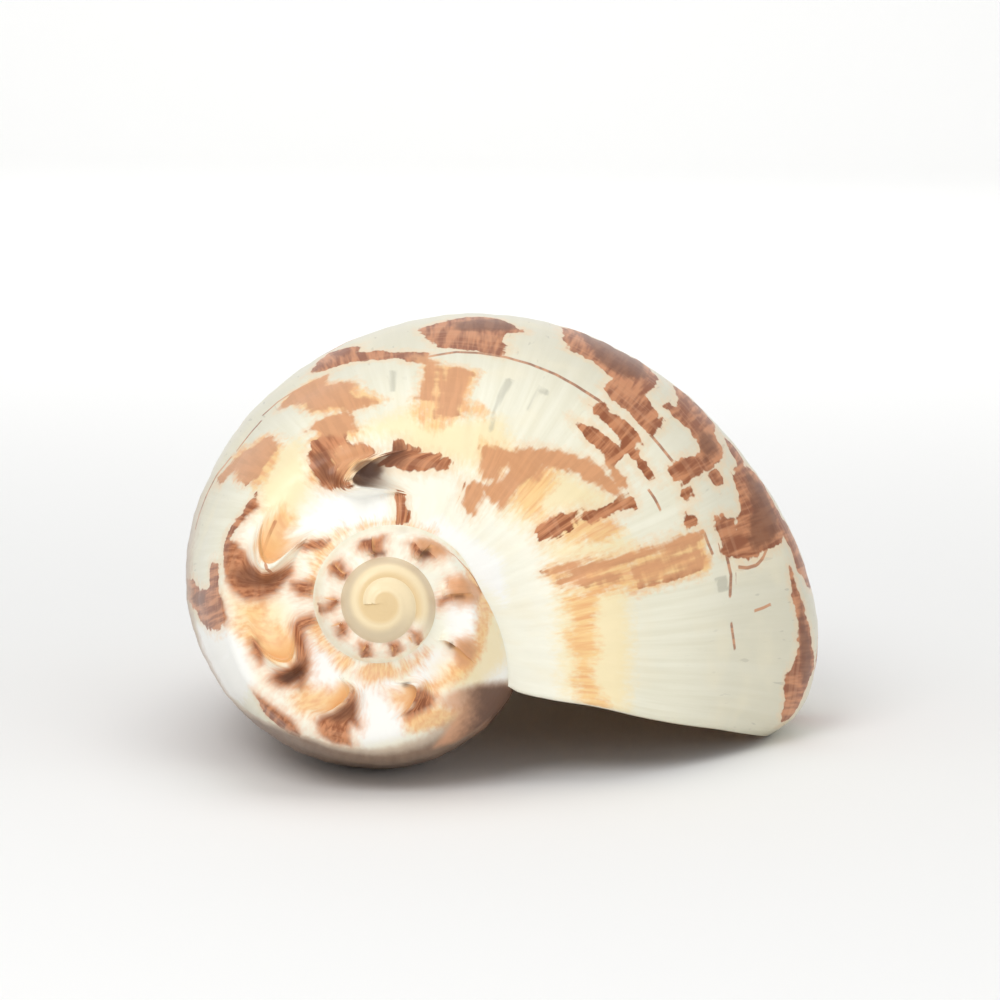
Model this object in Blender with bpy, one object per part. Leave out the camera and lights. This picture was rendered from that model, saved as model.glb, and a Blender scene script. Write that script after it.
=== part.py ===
"""A melon shell: one coiled shell with a smooth domed apex, a crown of hollow scales on the
shoulder, a wide body whorl and a long open mouth with a folded pillar. It lies mouth down.

The shell grows clockwise as seen from its apex. A place on it is given by two numbers: how many
turns back from the outer lip it was grown, and which of the ten rails from suture to foot it is on.
"""
import math

import bmesh
import bpy
import numpy as np

MM = 0.001

# Driving sizes, in millimetres, in the shell's own frame: its axis is +Y, and the apex is at 0.
SHELL_LENGTH = 236.0
WALL = 2.6
LIP_WALL = 1.5
PILLAR_RADIUS = 8.2

# How the lip stands round the axis, in degrees seen from the apex, and how the shell lies.
LIP_ANGLE = -34.0
REST_PITCH = 8.8
REST_ROLL = -0.6

# Turns of the coil.
APEX_TURN = 3.6

# Where the wall meets the last whorl, and then the pillar, counted in rails.
UNDER_ATTACH = 3.3
UNDER_TIP = 8.6
FOOT = 9

# Each rail runs along the coil: (turns back from the lip, radius, depth below the apex).
SUTURE = [(0, 35.6, 31), (0.05, 29, 26), (0.1, 24, 21.6), (0.2, 20.8, 19.2), (0.34, 18.1, 17),
          (0.6, 16.2, 14), (0.84, 13.9, 12), (1.1, 12, 10.2), (1.34, 10.7, 8.8), (1.6, 9.8, 7.6),
          (1.84, 9.1, 6.4), (2.1, 7.4, 4.5), (2.6, 4.6, 2.3), (3.1, 2.7, 1.2), (3.6, 1.4, 0.6)]
RAMP = [(0, 46, 35), (0.1, 36, 28), (0.2, 31, 24), (0.34, 27.4, 20.6), (0.6, 25.7, 17.2),
        (0.84, 22.8, 15), (1.1, 16.3, 12), (1.34, 13.1, 9.7), (1.84, 10.7, 7), (2.1, 9, 4.9),
        (2.6, 6, 2.6), (3.1, 3.7, 1.4), (3.6, 2, 0.7)]
SHOULDER = [(0, 56.4, 37), (0.1, 48.3, 30), (0.2, 43.1, 25.4), (0.34, 37.4, 21.4), (0.6, 35.4, 18),
            (0.75, 34, 17), (0.88, 30.2, 15.6), (1, 24.4, 14), (1.1, 20.6, 12.8),
            (1.34, 15.8, 10.6), (1.6, 13.6, 9), (1.84, 11.6, 7.9), (2.1, 10.4, 6.2),
            (2.6, 7.5, 3.7), (3.1, 4.8, 2.1), (3.6, 2.7, 1.1)]
SIDE = [(0, 67, 43), (0.1, 59, 37), (0.22, 51, 31.5), (0.33, 44, 28), (0.44, 40.8, 25.5),
        (0.6, 38.8, 24), (0.76, 37.2, 23), (0.9, 36.4, 25), (1, 35.6, 31)]
FLANK = [(0, 87, 64), (0.1, 85, 61), (0.22, 69, 55), (0.33, 55.5, 50), (0.44, 47.8, 45.5),
         (0.6, 43, 41), (0.76, 39.8, 37), (0.93, 38.3, 37), (1, 37.4, 40), (1.1, 30.5, 32),
         (1.5, 20.3, 23), (2, 13.5, 16), (2.8, 8, 10)]
PERIPHERY = [(0, 104.5, 101), (0.01, 109.4, 100.6), (0.03, 111.5, 100), (0.06, 108.3, 98),
             (0.11, 99, 96), (0.22, 81, 91), (0.33, 64.5, 85), (0.44, 54, 79), (0.56, 48, 72),
             (0.76, 41, 62), (0.93, 38, 54), (1.1, 33, 45), (1.5, 22, 32), (2, 15, 23), (2.8, 9, 15)]
BASE = [(0, 92, 163), (0.03, 98, 162), (0.11, 88, 158), (0.22, 71, 152), (0.33, 56, 146),
        (0.44, 46.5, 139), (0.56, 40, 131), (0.76, 31, 113), (0.93, 24.5, 97), (1.1, 19.5, 83),
        (1.5, 13, 60), (2, 10, 42), (2.8, 7, 26)]
CORNER = [(0, 38.5, 225), (0.11, 36.8, 212), (0.22, 34, 199.5), (0.33, 30, 188.5), (0.44, 25.5, 179),
          (0.56, 20.8, 169), (0.76, 15.8, 152), (0.93, 13.4, 138), (1.1, 12, 122), (1.5, 10.4, 92),
          (2, 9.4, 62), (2.8, 6, 36)]
NOTCH = [(0, 31, 214), (0.14, 25.5, 204), (0.39, 16, 187), (0.64, 12, 165), (0.9, 10.8, 142),
         (1.14, 10.2, 121), (1.5, 9.8, 98), (2, 9, 70), (2.8, 6, 42)]
FOOT_RAIL = [(0, 0, 236), (0.03, 4, 233.5), (0.1, 7, 224), (0.23, 8.2, 208), (0.48, 8.6, 186),
             (0.74, 8.8, 163), (1, 8.8, 142), (1.3, 8.6, 120), (1.6, 8.4, 100), (2, 8.2, 76),
             (2.8, 6, 48)]
# How far each rail runs ahead round the axis, in degrees: the shape of the lip and its notch.
LIP_SWEEP = [0, 4, 8, 10, 13, 15, 22.5, 14, 75, 130]
SWEEP_FADES = (0.45, 0.9)
LAST_FADING_RAIL = 7

# Scales on the crown: (turns back, rail, height, drop behind the rim, bow of the rim, back slope,
# run-out in front, inward lean, half width in rails), in millimetres from the height on.
SCALES = [(0.306, 1.25, 9.5, 8, 13.6, 8.5, 13, 1.8, 0.47), (0.475, 1.26, 7.5, 4.5, 10.9, 8, 12, 0, 0.56),
          (0.631, 1.05, 6.5, 3.5, 8.3, 7, 11, 0, 0.53), (0.757, 1.08, 5.5, 3.4, 5.1, 7, 9, 2.6, 0.52),
          (0.869, 1.06, 5, 3.4, 5.7, 6, 7, 1.5, 0.47), (1, 1.35, 4.5, 3.4, 2, 4.5, 4, 2, 0.9),
          (1.111, 1.35, 3.6, 3, 1.3, 3.8, 3.2, 1.5, 0.9), (1.236, 1.35, 3.2, 2.6, 1.2, 3.4, 3, 1.2, 0.9),
          (1.372, 1.35, 2.8, 2.3, 1, 3, 2.6, 1, 0.9), (1.489, 1.35, 2.4, 2, 0.9, 2.6, 2.2, 0.8, 0.9),
          (1.58, 1.35, 2.1, 1.7, 0.8, 2.2, 2, 0.7, 0.9), (1.661, 1.4, 1.9, 1.5, 0.7, 2, 1.8, 0.6, 0.9),
          (1.78, 1.4, 1.6, 1.2, 0.6, 1.8, 1.7, 0.5, 0.9), (1.875, 1.4, 1.4, 1, 0.6, 1.7, 1.6, 0.4, 0.9),
          (1.947, 1.4, 1.2, 0.9, 0.5, 1.6, 1.5, 0.3, 0.9)]
# In front of the rim: its edge, and how far the hollow reaches back under it.
RIM_STEP = 0.02
POCKET_STEP = 0.13
RIM_EDGE = 0.7
POCKET = 0.16

# Folds on the pillar: where each crest stands, as a share of the way from the tip of the pillar to
# the foot of the last whorl, and the spacing and height of the crests.
FOLDS = (0.38, 0.52, 0.66, 0.8)
FOLD_SPACING = 0.14
FOLD_HEIGHT = 2.6

# How finely the faces are cut: rows along the coil, and columns across it counted in rails.
BODY_ROWS = 44
CROWN_ROWS = 36
APEX_ROWS = 24
SCALE_STEPS = (-1, -0.66, -0.33, -0.1, 0, RIM_STEP, POCKET_STEP, 0.4, 0.7, 1)
SMALL_STEPS = (-1, -0.4, 0, RIM_STEP, POCKET_STEP, 0.5, 1)
SMALL_SCALE = 3
CROWN_COLUMNS = [0, 0.4, 0.65, 0.85, 1.05, 1.25, 1.45, 1.7, 2, 2.4, 3]
BODY_COLUMNS = [3, 3.3, 3.65, 4, 4.25, 4.5, 4.75, 5, 5.25, 5.5, 5.75, 6, 6.25, 6.5, 6.75,
                7, 7.25, 7.5, 7.75, 8, 8.35, 8.7, 9]
TIP_SHARES = (0, 0.15, 0.35, 0.6, 0.85, 1)
FOLD_SHARES = (0, 0.12, 0.24, 0.31, 0.345, 0.38, 0.415, 0.45, 0.485, 0.52, 0.555, 0.59, 0.625,
               0.66, 0.695, 0.73, 0.765, 0.8, 0.835, 0.87, 0.93, 1)
INNER_CROWN = [0, 0.9, 1.7, 2.3, 3]
INNER_BODY = [3, 3.5, 4, 4.5, 5, 5.5, 6, 6.5, 7, 7.25, 7.5, 7.75, 8, 8.35, 8.7, 9]
INNER_TURNS = (0, 0.02, 0.045, 0.07, 0.1, 0.13, 0.16, 0.2, 0.24, 0.28, 0.32, 0.36, 0.4, 0.45,
               0.5, 0.55, 0.6, 0.65, 0.7, 0.75, 0.8, 0.85, 0.9, 0.95, 1, 1.06, 1.13, 1.2, 1.28,
               1.36, 1.44, 1.52)


def curve_through(points, at):
    """A smooth curve through the stations (place, value, ...), read at the places given."""
    table = np.array(points, float)
    x, y = table[:, 0], table[:, 1:]
    slopes = np.gradient(y, x, axis=0)
    at = np.clip(np.asarray(at, float), x[0], x[-1])
    i = np.clip(np.searchsorted(x, at, side="right") - 1, 0, len(x) - 2)
    span = (x[i + 1] - x[i])[..., None]
    u = ((at - x[i])[..., None]) / span
    return (y[i] * (1 + 2 * u) * (1 - u) ** 2 + slopes[i] * span * u * (1 - u) ** 2
            + y[i + 1] * u * u * (3 - 2 * u) + slopes[i + 1] * span * u * u * (u - 1))


def ease(x):
    """0 to 1 with a smooth start and end."""
    x = np.clip(x, 0.0, 1.0)
    return x * x * (3 - 2 * x)


def gentle(rise_before, rise_after):
    """A slope between two rises that keeps the curve from overshooting."""
    product = rise_before * rise_after
    return np.where(product > 0, 2 * product / np.where(product > 0, rise_before + rise_after, 1),
                    0)


def rails_at(turns):
    """(radius, depth, sweep) of all ten rails at each turn, shape (n, 10, 3)."""
    turns = np.asarray(turns, float)
    side = np.where((turns < 1)[:, None], curve_through(SIDE, turns),
                    curve_through(SUTURE, turns - 1))
    rails = [curve_through(SUTURE, turns), curve_through(RAMP, turns),
             curve_through(SHOULDER, turns), side]
    rails += [curve_through(r, turns) for r in (FLANK, PERIPHERY, BASE, CORNER, NOTCH, FOOT_RAIL)]
    sweep = np.repeat(np.array(LIP_SWEEP, float)[None, :], len(turns), axis=0)
    fade = 1 - ease((turns - SWEEP_FADES[0]) / (SWEEP_FADES[1] - SWEEP_FADES[0]))
    sweep[:, :LAST_FADING_RAIL] *= fade[:, None]
    return np.concatenate([np.stack(rails, axis=1), sweep[:, :, None]], axis=2)


def smooth_surface(turns, rail):
    """Points of the plain outer surface, in the shell's frame, for arrays of turns and rails."""
    turns, rail = np.broadcast_arrays(np.asarray(turns, float), np.asarray(rail, float))
    shape = turns.shape
    turns, rail = turns.ravel(), rail.ravel()
    known = rails_at(turns)
    i = np.clip(rail.astype(int), 0, FOOT - 1)
    u = (rail - i)[:, None]
    n = np.arange(len(turns))
    before, after = known[n, np.maximum(i - 1, 0)], known[n, np.minimum(i + 2, FOOT)]
    a, b = known[n, i], known[n, i + 1]
    slope_a = (b - before) / np.where(i > 0, 2, 1)[:, None]
    slope_b = (after - a) / np.where(i < FOOT - 1, 2, 1)[:, None]
    slope_a[:, 2] = gentle(a[:, 2] - before[:, 2], b[:, 2] - a[:, 2])
    slope_b[:, 2] = gentle(b[:, 2] - a[:, 2], after[:, 2] - b[:, 2])
    place = (a * (1 + 2 * u) * (1 - u) ** 2 + slope_a * u * (1 - u) ** 2
             + b * u * u * (3 - 2 * u) + slope_b * u * u * (u - 1))
    return on_axis(place[:, 0], place[:, 1], turns, place[:, 2]).reshape(shape + (3,))


def on_axis(radius, depth, turns, sweep):
    angle = np.radians(LIP_ANGLE + sweep) + 2 * math.pi * np.asarray(turns)
    return np.stack([radius * np.cos(angle), depth + 0 * angle, radius * np.sin(angle)], axis=-1)


def inward(turns, rail):
    """Unit normals that point into the wall, by differences on the plain surface."""
    step = 0.01
    along = smooth_surface(turns + step, rail) - smooth_surface(np.maximum(turns - step, 0), rail)
    low, high = np.maximum(rail - step * 2, 0), np.minimum(rail + step * 2, FOOT)
    across = smooth_surface(turns, high) - smooth_surface(turns, low)
    normal = np.cross(along, across)
    length = np.linalg.norm(normal, axis=-1, keepdims=True)
    return normal / np.maximum(length, 1e-9)


def plain_rows():
    """The turns at which the plain rows are cut, closer together where the shell is wider."""
    rows = [k / BODY_ROWS for k in range(BODY_ROWS)]
    rows += [1 + k / CROWN_ROWS for k in range(CROWN_ROWS)]
    return rows + [2 + k / APEX_ROWS for k in range(int(round((APEX_TURN - 2) * APEX_ROWS)) + 1)]


def crown_rows():
    """Rows of the crown as (turn, scale number or -1, step along that scale), in order."""
    rows, taken = [], []
    for number, scale in enumerate(SCALES):
        turn, _, height, _, bow, back, front, _, _ = scale
        girth = 2 * math.pi * curve_through(SHOULDER, turn)[0]
        for step in SCALE_STEPS if height > SMALL_SCALE else SMALL_STEPS:
            reach = back + bow if step < 0 else front
            rows.append((turn - step * reach / girth, number, step))
        taken.append((turn - (front + 1) / girth, turn + (back + bow + 1) / girth))
    for turn in plain_rows():
        if not any(low < turn < high for low, high in taken):
            rows.append((turn, -1, 0.0))
    return sorted(rows)


def crown_row(row, columns):
    """One row of the crown. On a scale it rises as a humped back, a bowed rim and a hollow."""
    turn, number, step = row
    columns = np.array(columns, float)
    points = smooth_surface(np.full(len(columns), turn), columns)
    if number < 0:
        return points
    _, rail, height, drop, bow, _, _, lean, half = SCALES[number]
    across = np.clip(1 - ((columns - rail) / half) ** 2, 0, 1)
    if step <= 0:
        rise, shift = (1 + step) ** 1.3, bow * (1 + step)
    else:
        rise = np.interp(step, [0, RIM_STEP, POCKET_STEP], [1, 1 - 0.3 / height, 1 - drop / height])
        rise = rise * (1 - ease((step - POCKET_STEP) / (1 - POCKET_STEP)))
        edge = min(RIM_EDGE, 0.2 * height)
        shift = bow * (1 - step) + np.interp(step, [0, RIM_STEP, POCKET_STEP, 0.5],
                                             [0, -edge, POCKET * drop, 0])
    radius = np.hypot(points[:, 0], points[:, 2])
    angle = np.arctan2(points[:, 2], points[:, 0]) + shift * across / radius
    radius = radius - rise * across * lean
    depth = points[:, 1] - rise * across * height
    return np.stack([radius * np.cos(angle), depth, radius * np.sin(angle)], axis=1)


def pillar_point(share, low, high, turns, fold_strength):
    """A point on the pillar, a share of the way from depth low up to depth high."""
    share = np.asarray(share, float)
    depth = low + (high - low) * share
    body = PILLAR_RADIUS * np.clip((SHELL_LENGTH - depth) / 14, 0, 1) ** 0.5
    folds = sum(np.cos(np.clip((share - f) / FOLD_SPACING, -0.5, 0.5) * math.pi) ** 2
                for f in FOLDS)
    radius = body + FOLD_HEIGHT * folds * fold_strength
    return on_axis(radius, depth, turns, LIP_SWEEP[FOOT])


def foot_depth(turns):
    return curve_through(FOOT_RAIL, turns)[..., 1]


class Faces:
    """Collects patches of points and quads. Points on shared seams are welded at the end."""

    def __init__(self):
        self.points, self.faces = [], []

    def line(self, points):
        first = len(self.points)
        self.points.extend(points)
        return list(range(first, first + len(points)))

    def grid(self, rows):
        lines = [self.line(row) for row in rows]
        for a, b in zip(lines, lines[1:]):
            self.strip(a, b)
        return lines

    def strip(self, a, b):
        for j in range(len(a) - 1):
            self.faces.append((a[j], a[j + 1], b[j + 1], b[j]))

    def zip(self, a, a_at, b, b_at):
        """Joins two lines whose points lie at different places along them."""
        i = j = 0
        while i < len(a) - 1 or j < len(b) - 1:
            if j == len(b) - 1 or (i < len(a) - 1 and a_at[i + 1] <= b_at[j + 1]):
                self.faces.append((a[i], a[i + 1], b[j]))
                i += 1
            else:
                self.faces.append((a[i], b[j + 1], b[j]))
                j += 1


def outer_whorl(faces, rows):
    """The last turn, from the suture down to the foot of the wall and on to the pillar's tip."""
    crown = faces.grid([crown_row(row, CROWN_COLUMNS[:-1]) for row in rows])
    turns = np.arange(BODY_ROWS + 1) / BODY_ROWS
    body = faces.grid([smooth_surface(np.full(len(BODY_COLUMNS), t), BODY_COLUMNS) for t in turns])
    faces.zip([line[-1] for line in crown], [row[0] for row in rows],
              [line[0] for line in body], turns)
    pillar = []
    for turn in turns[:-1]:
        points = pillar_point(TIP_SHARES, SHELL_LENGTH, foot_depth(turn), turn, 0.0)
        points[-1] = smooth_surface(turn, FOOT)
        points[0] = (0, SHELL_LENGTH, 0)
        pillar.append(points)
    last = faces.grid(pillar)[-1]
    seam = faces.line(inner_pillar(0.0, np.array([0, SHELL_LENGTH, 0])))
    faces.zip(last, TIP_SHARES, seam, FOLD_SHARES)


def spire(faces, all_rows):
    """The earlier whorls, each closed by the suture of the one after it, up to the apex."""
    rows = [row for row in all_rows if row[0] >= 1]
    lines = faces.grid([crown_row(row, CROWN_COLUMNS[:-1]) for row in rows])
    last = rows[-1][0] - 1
    later = [row for row in all_rows if row[0] <= last + 1e-9]
    seam = faces.line([crown_row(row, CROWN_COLUMNS)[0] for row in later])
    faces.zip([line[-1] for line in lines], [row[0] for row in rows],
              seam, [row[0] + 1 for row in later])
    apex = faces.line([np.array([0.0, 0.0, 0.0])])[0]
    inner = [line[0] for line, row in zip(lines, rows) if row[0] >= last - 1e-9]
    rim = inner + lines[-1][1:] + [seam[-1]]
    for a, b in zip(rim, rim[1:]):
        faces.faces.append((a, b, apex))


def inner_wall_row(turn):
    """The inside of the wall at one turn, from under the suture to where it meets the pillar."""
    columns = np.array(INNER_CROWN + INNER_BODY[1:])
    if turn > 0:
        columns = np.where(columns > 7, 7 + (columns - 7) * (UNDER_TIP - 7) / 2, columns)
    thickness = LIP_WALL + (WALL - LIP_WALL) * ease(turn / 0.08)
    turns = np.full(len(columns), turn)
    points = smooth_surface(turns, columns) + thickness * inward(turns, columns)
    points[0] = smooth_surface(turn + 1, UNDER_ATTACH)
    points[-1] = (0, SHELL_LENGTH, 0)
    if turn > 0:
        tip = foot_depth(turn) - (SHELL_LENGTH - foot_depth(turn)) * 0.02 - 2 * WALL
        points[-1] = pillar_point(0, tip, tip, turn, 0.0)
    return points


def inner_pillar(turn, start):
    """The pillar as the mouth shows it, from where the wall meets it to the last whorl's foot."""
    strength = 0.4 + 0.6 * ease(turn / 0.07)
    points = pillar_point(FOLD_SHARES, start[1], foot_depth(turn + 1), turn, strength)
    points[0] = start
    points[-1] = smooth_surface(turn + 1, FOOT)
    return points


def hollow(faces):
    """The inside, from the lip one turn back, and the edge of the lip."""
    walls = [inner_wall_row(turn) for turn in INNER_TURNS]
    wall_lines = faces.grid(walls)
    pillar_lines = faces.grid([inner_pillar(t, w[-1]) for t, w in zip(INNER_TURNS, walls)])
    fine, coarse = BODY_COLUMNS[1:], [UNDER_ATTACH] + INNER_BODY[1:]
    first = faces.line(smooth_surface(np.ones(len(fine)), fine))
    side_lines = faces.grid([smooth_surface(np.full(len(coarse), turn + 1), coarse)
                             for turn in INNER_TURNS[1:]])
    faces.zip(first, fine, side_lines[0], coarse)
    end = wall_lines[-1]
    far = side_lines[-1] + pillar_lines[-1][-2::-1]
    faces.zip(end, np.linspace(0, 1, len(end)), far, np.linspace(0, 1, len(far)))
    columns = CROWN_COLUMNS + BODY_COLUMNS[1:]
    outer = faces.line(smooth_surface(np.zeros(len(columns)), columns))
    faces.zip(outer, columns, wall_lines[0], INNER_CROWN + INNER_BODY[1:])


def lay_down(points):
    """Turns the shell to lie on its mouth, with its lowest point at height 0."""
    pitch, roll = math.radians(REST_PITCH), math.radians(REST_ROLL)
    tilt = np.array([[1, 0, 0], [0, math.cos(pitch), math.sin(pitch)],
                     [0, -math.sin(pitch), math.cos(pitch)]])
    turn = np.array([[math.cos(roll), 0, math.sin(roll)], [0, 1, 0],
                     [-math.sin(roll), 0, math.cos(roll)]])
    laid = points @ (turn @ tilt).T
    low, high = laid.min(axis=0), laid.max(axis=0)
    return laid - np.array([(low[0] + high[0]) / 2, (low[1] + high[1]) / 2, low[2]])


def build_shell():
    faces = Faces()
    rows = crown_rows()
    outer_whorl(faces, [row for row in rows if row[0] <= 1])
    spire(faces, rows)
    hollow(faces)
    points = lay_down(np.array(faces.points)) * MM
    mesh = bpy.data.meshes.new("melon_shell")
    mesh.from_pydata([tuple(p) for p in points], [], faces.faces)
    edit = bmesh.new()
    edit.from_mesh(mesh)
    bmesh.ops.remove_doubles(edit, verts=edit.verts, dist=0.02 * MM)
    bmesh.ops.triangulate(edit, faces=edit.faces)
    bmesh.ops.recalc_face_normals(edit, faces=edit.faces)
    edit.to_mesh(mesh)
    edit.free()
    mesh.shade_smooth()
    return bpy.data.objects.new("melon_shell", mesh)


def shell_material():
    material = bpy.data.materials.new("melon_shell")
    material.use_nodes = True
    finish = material.node_tree.nodes["Principled BSDF"]
    finish.inputs["Base Color"].default_value = (0.83, 0.72, 0.52, 1)
    finish.inputs["Roughness"].default_value = 0.35
    finish.inputs["Metallic"].default_value = 0
    return material


def main():
    for old in list(bpy.data.objects):
        bpy.data.objects.remove(old)
    shell = build_shell()
    shell.data.materials.append(shell_material())
    bpy.context.scene.collection.objects.link(shell)


main()
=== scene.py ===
"""A melon shell, lying on its mouth and seen down its spire.

The shell is cut finely on the same coil as the model: a place on it is how many turns back from the
outer lip it was grown, and which of the ten rails from suture to foot it is on. Each corner of the
mesh knows its place, so the markings and the growth lines follow the shell's own growth.
"""
import math
import random
from collections import namedtuple

import bmesh
import bpy
import numpy as np
from mathutils import Matrix, Vector
from mathutils.bvhtree import BVHTree
from mathutils.interpolate import poly_3d_calc


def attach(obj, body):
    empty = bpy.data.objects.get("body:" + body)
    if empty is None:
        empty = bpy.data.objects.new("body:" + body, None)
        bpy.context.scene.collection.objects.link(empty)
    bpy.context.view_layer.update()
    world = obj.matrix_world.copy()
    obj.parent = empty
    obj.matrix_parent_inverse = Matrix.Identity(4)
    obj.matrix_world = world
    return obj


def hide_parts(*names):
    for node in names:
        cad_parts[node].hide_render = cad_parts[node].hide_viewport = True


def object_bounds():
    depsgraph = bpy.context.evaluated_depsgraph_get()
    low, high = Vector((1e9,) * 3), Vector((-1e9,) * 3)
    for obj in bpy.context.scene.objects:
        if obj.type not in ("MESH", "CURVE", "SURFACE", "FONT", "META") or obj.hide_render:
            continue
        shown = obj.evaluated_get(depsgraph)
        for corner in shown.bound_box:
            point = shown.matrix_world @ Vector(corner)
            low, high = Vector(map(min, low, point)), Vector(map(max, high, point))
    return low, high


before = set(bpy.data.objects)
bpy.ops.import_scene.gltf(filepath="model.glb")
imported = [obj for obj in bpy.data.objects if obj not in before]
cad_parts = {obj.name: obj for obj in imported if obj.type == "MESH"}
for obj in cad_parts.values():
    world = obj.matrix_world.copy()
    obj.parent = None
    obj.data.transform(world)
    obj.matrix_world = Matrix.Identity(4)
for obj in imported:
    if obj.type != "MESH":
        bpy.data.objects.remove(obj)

cad_low, cad_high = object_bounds()

MM = 0.001

# Driving sizes, in millimetres, in the shell's own frame: its axis is +Y, and the apex is at 0.
SHELL_LENGTH = 236.0
WALL = 2.6
LIP_WALL = 1.5
LIP_ROUND = 0.5
PILLAR_RADIUS = 8.2
LIP_ANGLE = -34.0
REST_PITCH = 8.8
REST_ROLL = -0.6
APEX_TURN = 3.6
UNDER_ATTACH = 3.06
UNDER_TIP = 8.6
FOOT = 9

# Each rail runs along the coil: (turns back from the lip, radius, depth below the apex).
SUTURE = [(0, 35.6, 31), (0.05, 29, 26), (0.1, 24, 21.6), (0.2, 20.8, 19.2), (0.34, 18.1, 17),
          (0.6, 16.2, 14), (0.84, 13.9, 12), (1.1, 12, 10.2), (1.34, 10.7, 8.8), (1.6, 9.8, 7.6),
          (1.84, 9.1, 6.4), (2.1, 7.4, 4.5), (2.6, 4.6, 2.3), (3.1, 2.7, 1.2), (3.6, 1.4, 0.6)]
RAMP = [(0, 46, 35), (0.1, 36, 28), (0.2, 31, 24), (0.34, 27.4, 20.6), (0.6, 25.7, 17.2),
        (0.84, 22.8, 15), (1.1, 16.3, 12), (1.34, 13.1, 9.7), (1.84, 10.7, 7), (2.1, 9, 4.9),
        (2.6, 6, 2.6), (3.1, 3.7, 1.4), (3.6, 2, 0.7)]
SHOULDER = [(0, 56.4, 37), (0.1, 48.3, 30), (0.2, 43.1, 25.4), (0.34, 37.4, 21.4), (0.6, 35.4, 18),
            (0.75, 34, 17), (0.88, 30.2, 15.6), (1, 24.4, 14), (1.1, 20.6, 12.8),
            (1.34, 15.8, 10.6), (1.6, 13.6, 9), (1.84, 11.6, 7.9), (2.1, 10.4, 6.2),
            (2.6, 7.5, 3.7), (3.1, 4.8, 2.1), (3.6, 2.7, 1.1)]
SIDE = [(0, 67, 43), (0.1, 59, 37), (0.22, 51, 31.5), (0.33, 44, 28), (0.44, 40.8, 25.5),
        (0.6, 38.8, 24), (0.76, 37.2, 23), (0.9, 36.4, 25), (1, 35.6, 31)]
FLANK = [(0, 87, 64), (0.1, 85, 61), (0.22, 69, 55), (0.33, 55.5, 50), (0.44, 47.8, 45.5),
         (0.6, 43, 41), (0.76, 39.8, 37), (0.93, 38.3, 37), (1, 37.4, 40), (1.1, 30.5, 32),
         (1.5, 20.3, 23), (2, 13.5, 16), (2.8, 8, 10)]
PERIPHERY = [(0, 104.5, 101), (0.01, 109.4, 100.6), (0.03, 111.5, 100), (0.06, 108.3, 98),
             (0.11, 99, 96), (0.22, 81, 91), (0.33, 64.5, 85), (0.44, 54, 79), (0.56, 48, 72),
             (0.76, 41, 62), (0.93, 38, 54), (1.1, 33, 45), (1.5, 22, 32), (2, 15, 23), (2.8, 9, 15)]
BASE = [(0, 92, 163), (0.03, 98, 162), (0.11, 88, 158), (0.22, 71, 152), (0.33, 56, 146),
        (0.44, 46.5, 139), (0.56, 40, 131), (0.76, 31, 113), (0.93, 24.5, 97), (1.1, 19.5, 83),
        (1.5, 13, 60), (2, 10, 42), (2.8, 7, 26)]
CORNER = [(0, 38.5, 225), (0.11, 36.8, 212), (0.22, 34, 199.5), (0.33, 30, 188.5), (0.44, 25.5, 179),
          (0.56, 20.8, 169), (0.76, 15.8, 152), (0.93, 13.4, 138), (1.1, 12, 122), (1.5, 10.4, 92),
          (2, 9.4, 62), (2.8, 6, 36)]
NOTCH = [(0, 31, 214), (0.14, 25.5, 204), (0.39, 16, 187), (0.64, 12, 165), (0.9, 10.8, 142),
         (1.14, 10.2, 121), (1.5, 9.8, 98), (2, 9, 70), (2.8, 6, 42)]
FOOT_RAIL = [(0, 0, 236), (0.03, 4, 233.5), (0.1, 7, 224), (0.23, 8.2, 208), (0.48, 8.6, 186),
             (0.74, 8.8, 163), (1, 8.8, 142), (1.3, 8.6, 120), (1.6, 8.4, 100), (2, 8.2, 76),
             (2.8, 6, 48)]
LIP_SWEEP = [0, 4, 8, 10, 13, 15, 22.5, 14, 75, 130]
SWEEP_FADES = (0.45, 0.9)
LAST_FADING_RAIL = 7

# Scales on the crown: turns back, rail, height, drop behind the rim, bow of the rim, back slope,
# run-out in front, inward lean, half width in rails and how torn the rim is. Lengths are in
# millimetres.
Scale = namedtuple("Scale", "turn middle height drop bow back front lean half torn")
SCALES = [(0.306, 1.25, 9.5, 8, 13.6, 8.5, 13, 1.8, 0.47, 0.3),
          (0.475, 1.26, 7.5, 4.5, 10.9, 8, 12, 0, 0.56, 0.06),
          (0.631, 1.05, 6.5, 3.5, 8.3, 7, 11, 0, 0.53, 0.08),
          (0.757, 1.08, 5.5, 3.4, 5.1, 7, 9, 2.6, 0.52, 0.24),
          (0.869, 1.06, 5, 3.4, 5.7, 6, 7, 1.5, 0.47, 0.26),
          (1, 1.35, 4.5, 3.4, 2, 4.5, 4, 2, 0.9, 0),
          (1.111, 1.35, 3.6, 3, 1.3, 3.8, 3.2, 1.5, 0.9, 0),
          (1.236, 1.35, 3.2, 2.6, 1.2, 3.4, 3, 1.2, 0.9, 0),
          (1.372, 1.35, 2.8, 2.3, 1, 3, 2.6, 1, 0.9, 0),
          (1.489, 1.35, 2.4, 2, 0.9, 2.6, 2.2, 0.8, 0.9, 0),
          (1.58, 1.35, 2.1, 1.7, 0.8, 2.2, 2, 0.7, 0.9, 0),
          (1.661, 1.4, 1.9, 1.5, 0.7, 2, 1.8, 0.6, 0.9, 0),
          (1.78, 1.4, 1.6, 1.2, 0.6, 1.8, 1.7, 0.5, 0.9, 0),
          (1.875, 1.4, 1.4, 1, 0.6, 1.7, 1.6, 0.4, 0.9, 0),
          (1.947, 1.4, 1.2, 0.9, 0.5, 1.6, 1.5, 0.3, 0.9, 0)]
SCALES = [Scale(*values) for values in SCALES]
SCALE_CLEARANCE = 0.4
RIM_STEP = 0.02
POCKET_STEP = 0.13
RIM_EDGE = 0.7
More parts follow.
